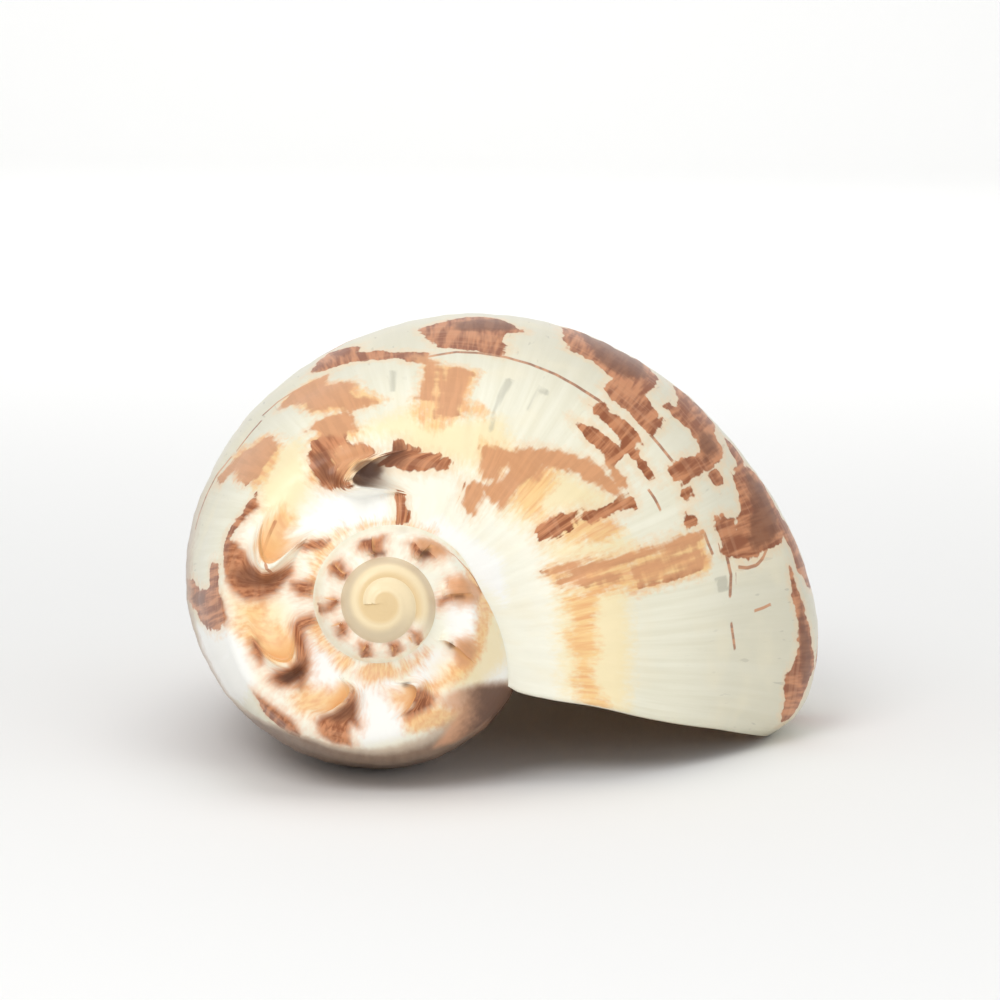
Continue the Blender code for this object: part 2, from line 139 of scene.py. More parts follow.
RIM_ROUND = 0.3
BACK_CURVE = 1.3
POCKET = 0.16
SMALL_SCALE = 3
TEETH = 7.0
SCALE_RIDGE = 0.7
WRINKLE = 0.22
WRINKLE_LENGTH = 1.9

# Ridges of growth: (length along the coil, height), in millimetres.
GROWTH_WAVES = [(23, 0.07), (11.3, 0.06), (6.1, 0.05), (3.7, 0.04)]

# Folds on the pillar, as shares of the way from its tip up to the last whorl's foot.
FOLDS = (0.38, 0.52, 0.66, 0.8)
FOLD_SPACING = 0.14
FOLD_HEIGHT = 2.6

# The cut: rows along the coil, and columns across it counted in rails.
NEW_ROWS = 340
NEW_SHARE = 0.6
OLD_ROWS = 150
CROWN_ROWS = 110
APEX_ROWS = 60
BIG_STEPS = [-1 + k / 14 for k in range(14)] + [0, 0.007, 0.014, RIM_STEP, 0.04, 0.065, 0.095,
                                                POCKET_STEP, 0.18, 0.24, 0.31, 0.39, 0.48, 0.58,
                                                0.69, 0.8, 0.9, 1]
SMALL_STEPS = [-1, -0.75, -0.5, -0.25, -0.1, 0, 0.01, RIM_STEP, 0.07, POCKET_STEP, 0.25, 0.4, 0.6,
               0.8, 1]
SPANS = [(0, 0.5, 6), (0.5, 1.9, 30), (1.9, 3, 12), (3.06, 4, 26), (4, 5, 32), (5, 6, 20), (6, 7, 16),
         (7, 8, 10), (8, 9, 6)]
SPIRE_SEAM = 2.9
INNER_RAILS = [0, 0.9, 1.7, 2.3, 3, 3.5, 4, 4.5, 5, 5.5, 6, 6.5, 7, 7.25, 7.5, 7.75, 8, 8.35, 8.7, 9]
INNER_FINE = 4
HOLLOW_TURNS = 1.52
HOLLOW_ROWS = 76
HOLLOW_SPACING = 1.15
PILLAR_COLUMNS = 60
TIP_COLUMNS = 6
WELD = 0.015

# The tables for lengths along the coil and across it.
COIL_STATIONS = 1400
TABLE_TURNS = 300
TABLE_RAILS = 201

# The camera in the shell's own frame, what it looks at, and its lens.
CAMERA_AT = (0, -900, 10)
CAMERA_AIM = (29.06, 80.03, 24.95)
LENS = 142
SENSOR = 36.0
VIEW_SIZE = 1000

# Outlines of the markings, drawn in pixels of the view, which is 1000 by 1000.
BROWN_MARKS = {
    "top_patch": [(421, 330), (440, 322), (470, 317), (495, 318), (514, 326), (526, 331),
        (506, 333), (501, 340), (506, 346), (502, 357), (480, 351), (460, 349), (438, 347), (428, 336)],
    "column_left": [(428, 360), (438, 363), (436, 380), (430, 399), (419, 398), (424, 380)],
    "column_right": [(450, 366), (463, 367), (473, 372), (466, 384), (460, 400), (455, 414),
        (436, 418), (438, 400), (442, 385)],
    "low_streak": [(375, 460), (380, 464), (386, 461), (385, 453), (391, 456), (395, 448), (396, 440),
        (404, 441), (406, 448), (420, 452), (440, 457), (451, 463), (449, 470), (425, 469),
        (400, 471), (388, 470)],
    "chip": [(483, 447), (497, 447), (511, 453), (509, 462), (501, 468), (497, 480), (484, 478),
        (481, 462)],
    "arch": [(505, 456), (530, 447), (545, 449), (570, 455), (590, 461), (600, 470), (612, 482),
        (619, 493), (610, 495), (600, 485), (585, 479), (577, 470), (562, 468), (550, 464), (541, 470),
        (536, 478), (522, 484), (512, 494), (502, 506), (492, 500), (481, 488), (500, 480), (511, 470)],
    "arch_arm": [(462, 482), (482, 485), (484, 497), (473, 513), (462, 500)],
    "saw_band": [(573, 420), (588, 424), (600, 431), (612, 439), (620, 446), (614, 458), (607, 459),
        (598, 449), (588, 441), (581, 431)],
    "saw_patch": [(589, 404), (601, 403), (609, 411), (622, 419), (632, 428), (640, 437),
        (632, 446), (621, 438), (612, 429), (601, 418)],
    "cross_bar": [(640, 436), (640, 443), (624, 454), (613, 463), (605, 461), (619, 447)],
    "cross_leg": [(606, 460), (613, 461), (619, 471), (627, 484), (619, 487), (611, 474)],
    "cross_leg_short": [(628, 451), (638, 451), (646, 463), (657, 479), (648, 480), (639, 467),
        (631, 459)],
    "edge_patch": [(561, 327), (568, 350), (582, 355), (598, 366), (612, 378), (604, 389),
        (613, 400), (630, 413), (640, 425), (648, 433), (657, 429), (663, 419), (653, 411), (648, 400),
        (641, 393), (652, 387), (657, 378), (642, 362), (636, 353), (618, 341), (600, 333), (580, 326)],
    "hook": [(672, 383), (684, 390), (700, 408), (714, 424), (717, 440), (724, 450), (719, 462),
        (700, 472), (686, 481), (674, 479), (667, 470), (680, 462), (695, 456), (700, 452), (698, 442),
        (690, 430), (678, 418), (664, 407), (670, 403), (677, 409), (677, 398)],
    "hook_square": [(682, 488), (690, 486), (695, 495), (684, 501), (679, 494)],
    "hook_chip": [(707, 474), (716, 470), (725, 482), (716, 485)],
    "hook_drop": [(686, 514), (694, 517), (698, 528), (690, 526)],
    "dark_field": [(738, 466), (750, 468), (762, 482), (772, 500), (779, 513), (784, 530),
        (778, 541), (765, 550), (757, 558), (742, 561), (727, 557), (720, 547), (726, 538), (739, 534),
        (738, 525), (741, 508), (738, 490), (734, 478)],
    "dark_square": [(713, 520), (724, 517), (733, 519), (736, 531), (722, 538), (716, 531)],
    # Painted shade along the outline.
    "upper_outline_shade": [(724, 437), (735, 447), (744, 462), (736, 461), (728, 448)],
    # Painted shade along the right outline.
    "right_outline_shade": [(778, 517), (787, 524), (797, 545), (802, 560), (811, 578), (814, 592),
        (806, 584), (797, 566), (789, 545), (781, 532)],
    "right_wedge": [(790, 569), (796, 583), (802, 603), (807, 623), (812, 645), (814, 668),
        (808, 680), (802, 699), (795, 711), (788, 717), (786, 729), (782, 728), (785, 700), (787, 675),
        (796, 663), (799, 645), (798, 620), (795, 605), (791, 587)],
    "long_bar": [(704, 530), (699, 545), (660, 554), (632, 561), (600, 570), (580, 575), (560, 575),
        (545, 572), (565, 563), (600, 560), (620, 556), (640, 550), (665, 543), (688, 534)],
    "long_bar_middle": [(632, 567), (660, 560), (701, 551), (705, 557), (680, 563), (655, 570),
        (635, 577)],
    "long_bar_low": [(637, 579), (657, 576), (656, 582), (640, 585)],
    "long_bar_short": [(662, 576), (684, 570), (703, 563), (701, 570), (676, 579), (664, 581)],
    "long_bar_streak": [(556, 577), (580, 577), (600, 574), (620, 572), (621, 580), (600, 585),
        (580, 584), (560, 586)],
    "upper_bar": [(634, 496), (636, 505), (620, 512), (600, 518), (577, 522), (560, 534),
        (541, 541), (537, 529), (558, 517), (585, 510), (602, 509), (616, 501)],
    "left_band": [(325, 355), (345, 348), (357, 346), (360, 353), (380, 352), (400, 352),
        (428, 353), (426, 363), (410, 362), (400, 359), (380, 359), (360, 361), (345, 364), (330, 369),
        (310, 373), (318, 362)],
    "left_comb": [(330, 373), (318, 380), (305, 385), (293, 392), (278, 409), (285, 408),
        (295, 400), (303, 404), (312, 411), (325, 409), (340, 405), (345, 411), (360, 410), (367, 405),
        (377, 402), (372, 398), (352, 397), (347, 390), (358, 385), (352, 381), (335, 384), (322, 387)],
    "left_chip": [(350, 413), (357, 431), (340, 433), (330, 431), (307, 430), (318, 422),
        (335, 414)],
    "first_back": [(330, 427), (345, 431), (340, 445), (333, 458), (337, 470), (344, 480),
        (349, 488), (335, 488), (322, 485), (313, 471), (309, 455), (313, 443), (323, 434)],
    "first_arch": [(334, 452), (345, 444), (360, 444), (376, 452), (370, 458), (357, 459),
        (350, 464), (342, 476), (335, 466)],
    "left_patch": [(255, 445), (262, 440), (270, 437), (277, 442), (278, 450), (268, 458),
        (262, 470), (258, 479), (247, 483), (240, 478), (235, 470), (226, 477), (222, 484), (217, 480),
        (228, 466), (240, 455)],
    "second_back": [(226, 539), (236, 543), (244, 552), (251, 564), (262, 574), (276, 572),
        (291, 566), (293, 572), (283, 583), (275, 592), (262, 599), (245, 599), (233, 590), (227, 580),
        (225, 570), (223, 557)],
    "second_tail": [(291, 582), (314, 581), (314, 596), (300, 595), (293, 588)],
    "left_edge": [(187, 580), (193, 579), (200, 592), (210, 590), (210, 565), (218, 566),
        (218, 590), (223, 605), (227, 621), (218, 629), (207, 627), (200, 620), (194, 608), (187, 596)],
    "third_root": [(250, 640), (258, 640), (263, 655), (261, 664), (254, 655)],
    "third_back": [(296, 661), (305, 655), (309, 672), (301, 681), (290, 685), (280, 687),
        (269, 680), (276, 672), (290, 668)],
    "third_ring": [(292, 625), (300, 618), (312, 615), (317, 622), (303, 630), (305, 642),
        (309, 664), (305, 681), (300, 690), (296, 676), (297, 650), (293, 640)],
    "fourth_back": [(352, 690), (357, 700), (356, 715), (359, 727), (350, 723), (348, 736),
        (351, 745), (335, 743), (322, 736), (317, 722), (322, 717), (335, 713), (345, 704)],
    "low_band": [(254, 693), (262, 699), (272, 707), (285, 716), (293, 722), (301, 738), (288, 733),
        (275, 723), (264, 712)],
    "fifth_mark": [(415, 690), (425, 690), (434, 698), (431, 706), (420, 713), (408, 719),
        (405, 713), (414, 707)],
    "sixth_mark": [(459, 641), (470, 641), (477, 650), (470, 661), (460, 665), (456, 655)],
    "seventh_mark": [(449, 581), (462, 577), (476, 584), (481, 592), (478, 601), (462, 601),
        (450, 599), (440, 605), (439, 600), (450, 596)],
    "eighth_mark": [(411, 544), (420, 539), (432, 540), (440, 544), (449, 552), (436, 557),
        (422, 558), (414, 553)],
    "ninth_mark": [(361, 540), (378, 538), (385, 535), (381, 545), (383, 553), (375, 556),
        (367, 549), (359, 548)],
    "tenth_mark": [(329, 565), (340, 561), (346, 571), (352, 574), (341, 578), (331, 573)],
    "eleventh_mark": [(317, 604), (325, 607), (334, 599), (338, 602), (331, 611), (319, 612)],
    "twelfth_mark": [(338, 624), (347, 624), (346, 635), (338, 636)],
    "thirteenth_mark": [(360, 644), (369, 645), (371, 656), (362, 658)],
    "fourteenth_mark": [(389, 644), (398, 643), (401, 651), (393, 656)],
    "fifteenth_mark": [(411, 631), (420, 634), (425, 643), (418, 646)],
    "rim_dash": [(297, 545), (315, 541), (330, 540), (322, 548), (305, 550)],
    "rim_drop": [(396, 494), (400, 510), (398, 524), (404, 530), (408, 520), (404, 504),
        (401, 492)],
    "left_ridge": [(255, 494), (258, 506), (249, 514), (239, 525), (231, 537), (227, 541),
        (225, 535), (234, 523), (246, 508)],
}
DARK_MARKS = {
    # Painted shade behind the torn rim of the largest scale.
    "torn": [(374, 460), (386, 452), (396, 440), (404, 444), (410, 458), (400, 468), (384, 471)],
    "top": [(454, 322), (500, 318), (520, 328), (500, 331), (455, 330)],
    "edge": [(580, 330), (610, 340), (640, 360), (650, 378), (625, 378), (600, 362)],
    "hook": [(698, 430), (714, 436), (718, 452), (704, 460), (700, 446)],
    "field": [(745, 470), (762, 486), (778, 520), (776, 540), (756, 552), (748, 540), (752, 510)],
    "wedge": [(800, 600), (810, 640), (812, 672), (803, 690), (800, 650)],
    "first": [(312, 455), (325, 450), (332, 470), (345, 486), (322, 482)],
    "second": [(230, 570), (250, 566), (262, 576), (285, 572), (270, 588), (240, 586)],
    "third": [(296, 664), (306, 660), (306, 674), (290, 682), (276, 680)],
    "fourth": [(340, 706), (355, 702), (356, 718), (335, 722), (325, 716)],
    "left_edge": [(189, 590), (205, 594), (203, 606), (194, 604)],
}
ORANGE_TINTS = {
    "top_columns": [(424, 362), (476, 372), (463, 398), (491, 411), (460, 417), (430, 425),
        (414, 418), (420, 398)],
    "left_comb": [(336, 382), (358, 384), (378, 402), (345, 413), (300, 408), (285, 400),
        (310, 384)],
    "first_scale": [(335, 410), (358, 432), (345, 450), (380, 458), (345, 482), (312, 478),
        (308, 445)],
    "left_patch": [(233, 455), (262, 437), (281, 442), (276, 460), (262, 482), (240, 482)],
    "second_trough": [(263, 520), (280, 512), (291, 520), (286, 545), (272, 561), (259, 562),
        (253, 548), (257, 532)],
    "third_tongue": [(238, 622), (262, 620), (286, 627), (297, 640), (292, 661), (273, 664),
        (256, 650), (246, 638)],
    "fourth_tongue": [(290, 699), (300, 689), (320, 686), (340, 689), (351, 690), (342, 704),
        (327, 712), (312, 713), (298, 709)],
    "arch_glow": [(512, 478), (540, 468), (560, 470), (552, 486), (540, 500), (538, 514),
        (520, 510), (505, 503)],
    "bar_glow": [(538, 520), (575, 516), (600, 520), (622, 530), (600, 540), (575, 536),
        (545, 540)],
    "long_bar_glow": [(548, 572), (600, 556), (632, 556), (636, 580), (600, 590), (565, 592)],
    "seam_band": [(566, 596), (594, 594), (598, 640), (596, 676), (606, 706), (596, 706),
        (580, 700), (572, 660), (570, 630)],
    "long_bar_wash": [(630, 552), (704, 530), (708, 566), (664, 584), (634, 586)],
    "chip_glow": [(484, 447), (512, 452), (506, 478), (486, 480)],
    "fifth_glow": [(383, 685), (400, 686), (412, 688), (414, 706), (402, 712), (388, 705)],
    "last_suture": [(438, 525), (470, 545), (486, 580), (490, 610), (484, 650), (462, 680),
        (440, 690), (420, 690), (446, 672), (476, 645), (478, 600), (462, 560)],
    "rim_glow": [(345, 530), (370, 522), (400, 524), (432, 532), (400, 534), (370, 532)],
    "left_rim": [(318, 545), (335, 535), (338, 560), (322, 575), (316, 600), (308, 590),
        (312, 565)],
    "low_rim": [(320, 620), (330, 640), (345, 655), (360, 662), (345, 668), (326, 656), (312, 636)],
    "lower_rim": [(360, 662), (400, 662), (430, 650), (420, 668), (395, 682), (370, 680),
        (352, 672)],
    "third_glow": [(238, 606), (262, 604), (264, 628), (245, 630)],
    "under_lip_glow": [(408, 716), (440, 705), (470, 706), (460, 722), (430, 734), (410, 730)],
}
YELLOW_TINTS = {
    "above_streak": [(404, 415), (440, 420), (500, 420), (515, 450), (480, 468), (430, 458),
        (398, 448)],
    "left_wash": [(272, 452), (300, 440), (308, 470), (310, 500), (292, 516), (262, 514),
        (258, 490)],
    "arch_wash": [(520, 482), (560, 470), (600, 492), (610, 505), (560, 512), (530, 524),
        (505, 512)],
    "bar_wash": [(545, 542), (620, 536), (640, 552), (600, 560), (560, 564)],
    "seam_wash": [(560, 592), (624, 586), (630, 640), (626, 716), (590, 704), (566, 690),
        (562, 640)],
    "third_wash": [(230, 598), (275, 600), (290, 622), (262, 624), (238, 622)],
    "last_suture_wash": [(440, 668), (480, 640), (492, 600), (486, 560), (505, 600), (505, 660),
        (480, 684), (440, 690)],
    "streak_wash": [(380, 420), (420, 405), (420, 440), (390, 436), (350, 434)],
}
# Painted shade in the pits below the scale rims.
PIT_SHADOWS = {
    "first": [(352, 470), (357, 462), (368, 459), (378, 463), (384, 470), (380, 478), (366, 480)],
    "sixth": [(447, 643), (452, 643), (454, 647), (450, 648)],
    "seventh": [(452, 595), (463, 594), (464, 597), (456, 598)],
    "eighth": [(418, 550), (430, 549), (429, 556), (420, 557)],
    "ninth": [(374, 552), (385, 552), (384, 562), (376, 563)],
    "fifth": [(402, 683), (408, 682), (410, 685), (404, 686)],
    "third": [(276, 679), (300, 665), (303, 674), (288, 684)],
}
FADED_MARKS = {
    "arch": [(476, 440), (560, 438), (628, 470), (628, 500), (560, 488), (520, 503), (500, 518),
        (470, 522), (452, 500), (470, 478)],
    "columns": [(412, 354), (482, 356), (480, 396), (458, 422), (408, 424)],
    "left_comb": [(274, 372), (384, 372), (382, 412), (356, 438), (300, 436), (272, 412)],
    "left_patch": [(214, 456), (262, 434), (284, 440), (262, 484), (216, 486)],
    "bar": [(543, 560), (640, 540), (706, 525), (710, 572), (640, 590), (543, 590)],
    "first_arch": [(331, 452), (345, 443), (362, 442), (378, 452), (360, 462), (350, 466), (343, 478),
        (333, 466)],
    "crown": [(355, 530), (450, 532), (490, 590), (480, 668), (400, 662), (350, 650), (320, 620),
        (325, 560)],
}
# Painted shade under the lip, where the whorl before runs in beneath it.
LIP_SHADE = {
    "under_lip": [(436, 702), (455, 692), (480, 687), (515, 684), (508, 700), (492, 716), (476, 729),
        (456, 741), (436, 746), (450, 728), (462, 712)],
}
# Painted highlights: whiter patches where the ramps catch the light. Beside the crown the patch also
# stands for the pale cream of the ramp itself.
PALE_PATCHES_AND_HIGHLIGHTS = {
    "beside_crown": [(470, 596), (488, 622), (504, 652), (510, 680), (486, 684), (474, 660), (468, 628)],
    "left": [(196, 625), (216, 620), (240, 642), (253, 682), (240, 702), (220, 690), (203, 655)],
    "third": [(306, 642), (338, 640), (340, 694), (312, 692)],
    "fourth": [(356, 674), (372, 666), (404, 690), (404, 736), (364, 744), (350, 722)],
    "ramp": [(396, 538), (440, 520), (500, 560), (505, 600), (480, 580), (440, 545)],
    "sixth": [(446, 600), (484, 602), (484, 642), (452, 642)],
    "fifth": [(408, 652), (456, 652), (452, 686), (414, 684)],
    "under_first": [(300, 495), (345, 488), (390, 490), (385, 520), (340, 530), (300, 530)],
}
GREY_TINTS = {
    "streak": [(507, 378), (513, 380), (505, 395), (496, 412), (493, 430), (489, 432), (492, 412),
        (498, 395)],
    "short_streak": [(540, 384), (543, 388), (535, 400), (528, 412), (526, 410), (533, 396)],
    "tick": [(390, 370), (397, 370), (396, 392), (391, 392)],
    "spot": [(715, 578), (726, 577), (730, 588), (719, 592)],
    "second_tick": [(540, 390), (550, 390), (549, 396), (541, 394)],
}
MARKINGS = {"brown": BROWN_MARKS, "dark": DARK_MARKS, "grey": GREY_TINTS, "yellow": YELLOW_TINTS,
            "orange": ORANGE_TINTS, "white": PALE_PATCHES_AND_HIGHLIGHTS, "deep": PIT_SHADOWS, "faded": FADED_MARKS,
            "glaze": LIP_SHADE}

# Thin lines: (width in pixels, route).
LINES = {
    "spiral_line": (5, [(426, 357), (455, 352), (480, 353), (505, 357), (530, 364), (555, 374),
        (575, 385), (600, 401), (609, 411)]),
    "hook_line": (4.5, [(650, 434), (661, 447), (673, 462)]),
    "bar_tick": (4, [(704, 532), (708, 543), (713, 555)]),
    "right_tick": (5, [(722, 540), (727, 557), (731, 575), (730, 598)]),
    "low_tick": (4, [(731, 622), (733, 636), (735, 650)]),
    "pale_line": (3.5, [(648, 489), (655, 499), (661, 511)]),
    "left_line": (4, [(262, 420), (248, 436), (236, 452)]),
    "left_line_low": (5, [(232, 456), (216, 476), (207, 494), (200, 512), (195, 530)]),
    "comb_line": (4, [(320, 378), (300, 388), (280, 400), (262, 416)]),
    "fine_brown": (3, [(754, 611), (763, 608), (771, 604)]),
    "second_edge": (3, [(276, 520), (269, 535), (262, 555), (267, 569), (277, 578)]),
    "suture_line": (2.5, [(440, 546), (455, 556), (468, 570), (477, 582), (482, 594)]),
    "field_line": (3.5, [(738, 567), (747, 568), (757, 565), (763, 558), (767, 548)]),
}

# How the outlines are dropped on the shell: a drop every few pixels, nudged inwards at the edge.
DROP_STEP = 4
NUDGES = [k / 25 for k in range(14)]
FADE = 8.0
PIXEL = 0.254
LINE_REACH = 2.5
SAME_WHORL = 0.45
WHORL_REACH = 0.2
EDGE_OF_OUTSIDE = 0.25
FAR_OFF = 20.0

# Rows of blotches where the view doesn't reach: (rail, from turn, to turn, blotch rails, gap).
BLOTCH_SEED = 11
UNSEEN_ROWS = [(5.3, 0.0, 1.0, 0.2, 0.5), (5.75, 0.0, 1.0, 0.22, 0.9), (6.25, 0.0, 1.0, 0.2, 0.6),
               (6.8, 0.01, 1.0, 0.22, 1.1), (7.5, 0.03, 0.9, 0.3, 1.2), (4.85, 0.62, 0.98, 0.12, 0.8)]

# What each corner of the mesh holds, as vectors: its place, and its distances to the markings, among
# them the patches of painted shade and painted highlight.
CORNER_VALUES = {
    "place": ("along", "across", "turn"), "cover": ("side", "hollow", "rail"),
    "marks": ("brown", "dark", "grey"), "tints": ("yellow", "orange", "white"),
    "shades": ("deep", "faded", "glaze"), "lines": ("offset", "reach"),
}

# Colours as on a screen, from 0 to 255.
COLOURS = {
    # The pure white here is painted highlight, and the browns laid under the lip, along the outer rim,
    # in the first scale's hollow and in the pits are painted shade.
    "cream": (247, 244, 224), "cream_streak": (238, 234, 211), "crown_white": (254, 252, 236),
    "lower_grey": (216, 211, 190), "tick_grey": (172, 168, 152), "cloud": (250, 240, 210),
    "white": (254, 254, 250), "yellow": (251, 230, 176), "halo": (244, 208, 164),
    "crown_halo": (243, 200, 168), "orange": (238, 170, 108), "light_orange": (250, 206, 140),
    "ink": (152, 90, 58), "light_ink": (208, 142, 100), "hoop_ink": (222, 168, 130),
    "faded_ink": (226, 168, 122), "dark_ink": (122, 76, 52), "grey": (168, 166, 150),
    "rim_shade": (176, 136, 108), "light_rim_shade": (206, 182, 158), "deep_rim_shade": (104, 74, 56),
    "light_deep_rim_shade": (150, 120, 98), "glaze": (96, 68, 54), "glaze_edge": (224, 168, 130),
    "dome": (232, 204, 156), "light_dome": (246, 226, 186), "dome_rim": (216, 198, 168),
    "pit": (240, 186, 124), "first_hollow_shade": (126, 80, 56), "pit_shadow_brown": (92, 58, 42),
    "inside": (250, 222, 184), "inside_streak": (240, 196, 150), "ground": (246, 246, 245),
}

# Lamps: (place, what it is aimed at, size, watts), in metres.
MIDDLE = (0, 0, 0.05)
LAMPS = {
    "key": ((-0.45, -0.9, 0.9), MIDDLE, 0.6, 5.6),
    "front": ((0.6, -1.3, 0.35), MIDDLE, 0.7, 2.0),
    "top": ((0.1, 0.1, 1.7), MIDDLE, 1.4, 6),
    "backdrop": ((0, 1.0, 2.0), (0, 3.3, 0.9), 1.2, 34),
}
ROOM_LIGHT = 0.55

# The floor, in metres: its near end, where it bends up, the bend, the wall, half its width.
FLOOR_NEAR, FLOOR_FAR, FLOOR_BEND, FLOOR_WALL, FLOOR_HALF = -4.0, 2.6, 0.8, 2.4, 5.0


def curve_through(points, at):
    """A smooth curve through the stations (place, value, ...), read at the places given."""
    table = np.array(points, float)
    x, y = table[:, 0], table[:, 1:]
    slopes = np.gradient(y, x, axis=0)
    at = np.clip(np.asarray(at, float), x[0], x[-1])
    i = np.clip(np.searchsorted(x, at, side="right") - 1, 0, len(x) - 2)
    span = (x[i + 1] - x[i])[..., None]
    u = ((at - x[i])[..., None]) / span
    return (y[i] * (1 + 2 * u) * (1 - u) ** 2 + slopes[i] * span * u * (1 - u) ** 2
            + y[i + 1] * u * u * (3 - 2 * u) + slopes[i + 1] * span * u * u * (u - 1))


def ease(x):
    """0 to 1 with a smooth start and end."""
    x = np.clip(x, 0.0, 1.0)
    return x * x * (3 - 2 * x)


def gentle(rise_before, rise_after):
    """A slope between two rises that keeps the curve from overshooting."""
    product = rise_before * rise_after
    return np.where(product > 0, 2 * product / np.where(product > 0, rise_before + rise_after, 1),
                    0)


def rails_at(turns):
    """(radius, depth, sweep) of all ten rails at each turn, shape (n, 10, 3)."""
    turns = np.asarray(turns, float)
    side = np.where((turns < 1)[:, None], curve_through(SIDE, turns),
                    curve_through(SUTURE, turns - 1))
    rails = [curve_through(SUTURE, turns), curve_through(RAMP, turns),
             curve_through(SHOULDER, turns), side]
    rails += [curve_through(r, turns) for r in (FLANK, PERIPHERY, BASE, CORNER, NOTCH, FOOT_RAIL)]
    sweep = np.repeat(np.array(LIP_SWEEP, float)[None, :], len(turns), axis=0)
    fade = 1 - ease((turns - SWEEP_FADES[0]) / (SWEEP_FADES[1] - SWEEP_FADES[0]))
    sweep[:, :LAST_FADING_RAIL] *= fade[:, None]
    return np.concatenate([np.stack(rails, axis=1), sweep[:, :, None]], axis=2)


def on_axis(radius, depth, turns, sweep):
    angle = np.radians(LIP_ANGLE + sweep) + 2 * math.pi * np.asarray(turns)
    return np.stack([radius * np.cos(angle), depth + 0 * angle, radius * np.sin(angle)], axis=-1)


def smooth_surface(turns, rail):
    """Points of the plain outer surface, in the shell's frame, for arrays of turns and rails."""
    turns, rail = np.broadcast_arrays(np.asarray(turns, float), np.asarray(rail, float))
    shape = turns.shape
    turns, rail = turns.ravel(), rail.ravel()
    known = rails_at(turns)
    i = np.clip(rail.astype(int), 0, FOOT - 1)
    u = (rail - i)[:, None]
    n = np.arange(len(turns))
    before, after = known[n, np.maximum(i - 1, 0)], known[n, np.minimum(i + 2, FOOT)]
    a, b = known[n, i], known[n, i + 1]
    slope_a = (b - before) / np.where(i > 0, 2, 1)[:, None]
    slope_b = (after - a) / np.where(i < FOOT - 1, 2, 1)[:, None]
    slope_a[:, 2] = gentle(a[:, 2] - before[:, 2], b[:, 2] - a[:, 2])
    slope_b[:, 2] = gentle(b[:, 2] - a[:, 2], after[:, 2] - b[:, 2])
    place = (a * (1 + 2 * u) * (1 - u) ** 2 + slope_a * u * (1 - u) ** 2
             + b * u * u * (3 - 2 * u) + slope_b * u * u * (u - 1))
    return on_axis(place[:, 0], place[:, 1], turns, place[:, 2]).reshape(shape + (3,))


def inward(turns, rail):
    """Unit normals that point into the wall, by differences on the plain surface."""
    step = 0.01
    along = smooth_surface(turns + step, rail) - smooth_surface(np.maximum(turns - step, 0), rail)
    low, high = np.maximum(rail - step * 2, 0), np.minimum(rail + step * 2, FOOT)
    across = smooth_surface(turns, high) - smooth_surface(turns, low)
    normal = np.cross(along, across)
    length = np.linalg.norm(normal, axis=-1, keepdims=True)
    return normal / np.maximum(length, 1e-9)


def coil_length():
    """Stations of the length grown since the lip, in millimetres, halfway to the periphery."""
    turns = np.linspace(0, APEX_TURN + 1, COIL_STATIONS)
    radius = (curve_through(SHOULDER, turns)[:, 0] + curve_through(PERIPHERY, turns)[:, 0]) / 2
    steps = np.diff(turns) * 2 * math.pi * (radius[1:] + radius[:-1]) / 2
    return turns, np.concatenate([[0], np.cumsum(steps)])


COIL_TURNS, COIL_LENGTH = coil_length()


def grown(turns):
    return np.interp(turns, COIL_TURNS, COIL_LENGTH)


def across_length(turns, rail):
    """How far across the coil a place is from its suture, in millimetres."""
    some_turns = np.linspace(0, APEX_TURN, TABLE_TURNS)
    some_rails = np.linspace(0, FOOT + 1, TABLE_RAILS)
    grid = smooth_surface(some_turns[:, None], np.minimum(some_rails, FOOT)[None, :])
    steps = np.linalg.norm(np.diff(grid, axis=1), axis=2)
    length = np.concatenate([np.zeros((len(some_turns), 1)), np.cumsum(steps, axis=1)], axis=1)
    i = np.clip(turns / APEX_TURN * (TABLE_TURNS - 1), 0, TABLE_TURNS - 1.001)
    j = np.clip(rail / (FOOT + 1) * (TABLE_RAILS - 1), 0, TABLE_RAILS - 1.001)
    i0, j0 = i.astype(int), j.astype(int)
    u, v = i - i0, j - j0
    return ((length[i0, j0] * (1 - u) + length[i0 + 1, j0] * u) * (1 - v)
            + (length[i0, j0 + 1] * (1 - u) + length[i0 + 1, j0 + 1] * u) * v)


def relief(turns, rail):
    """How far the ridges of growth stand out, in millimetres. They die out at every seam."""
    along = grown(turns) + 1.5 * np.sin(1.3 * rail)
    height = sum(h * np.sin(2 * math.pi * along / length + 1.7 * length + 0.6 * np.sin(rail))
                 for length, h in GROWTH_WAVES)
    old = ease((turns - 0.85) / 0.15)
    seam = 1 - old * (1 - ease(np.abs(rail - 3) / 0.5))
    return height * seam * ease(rail / 0.5) * ease((FOOT - rail) / 0.8) * ease((1.9 - turns) / 0.5)


def tooth(x):
    """A row of uneven teeth between 0 and 1."""
    return np.abs((x % 1) * 2 - 1) * (0.6 + 0.4 * np.sin(2.3 * np.floor(x) + 0.7))


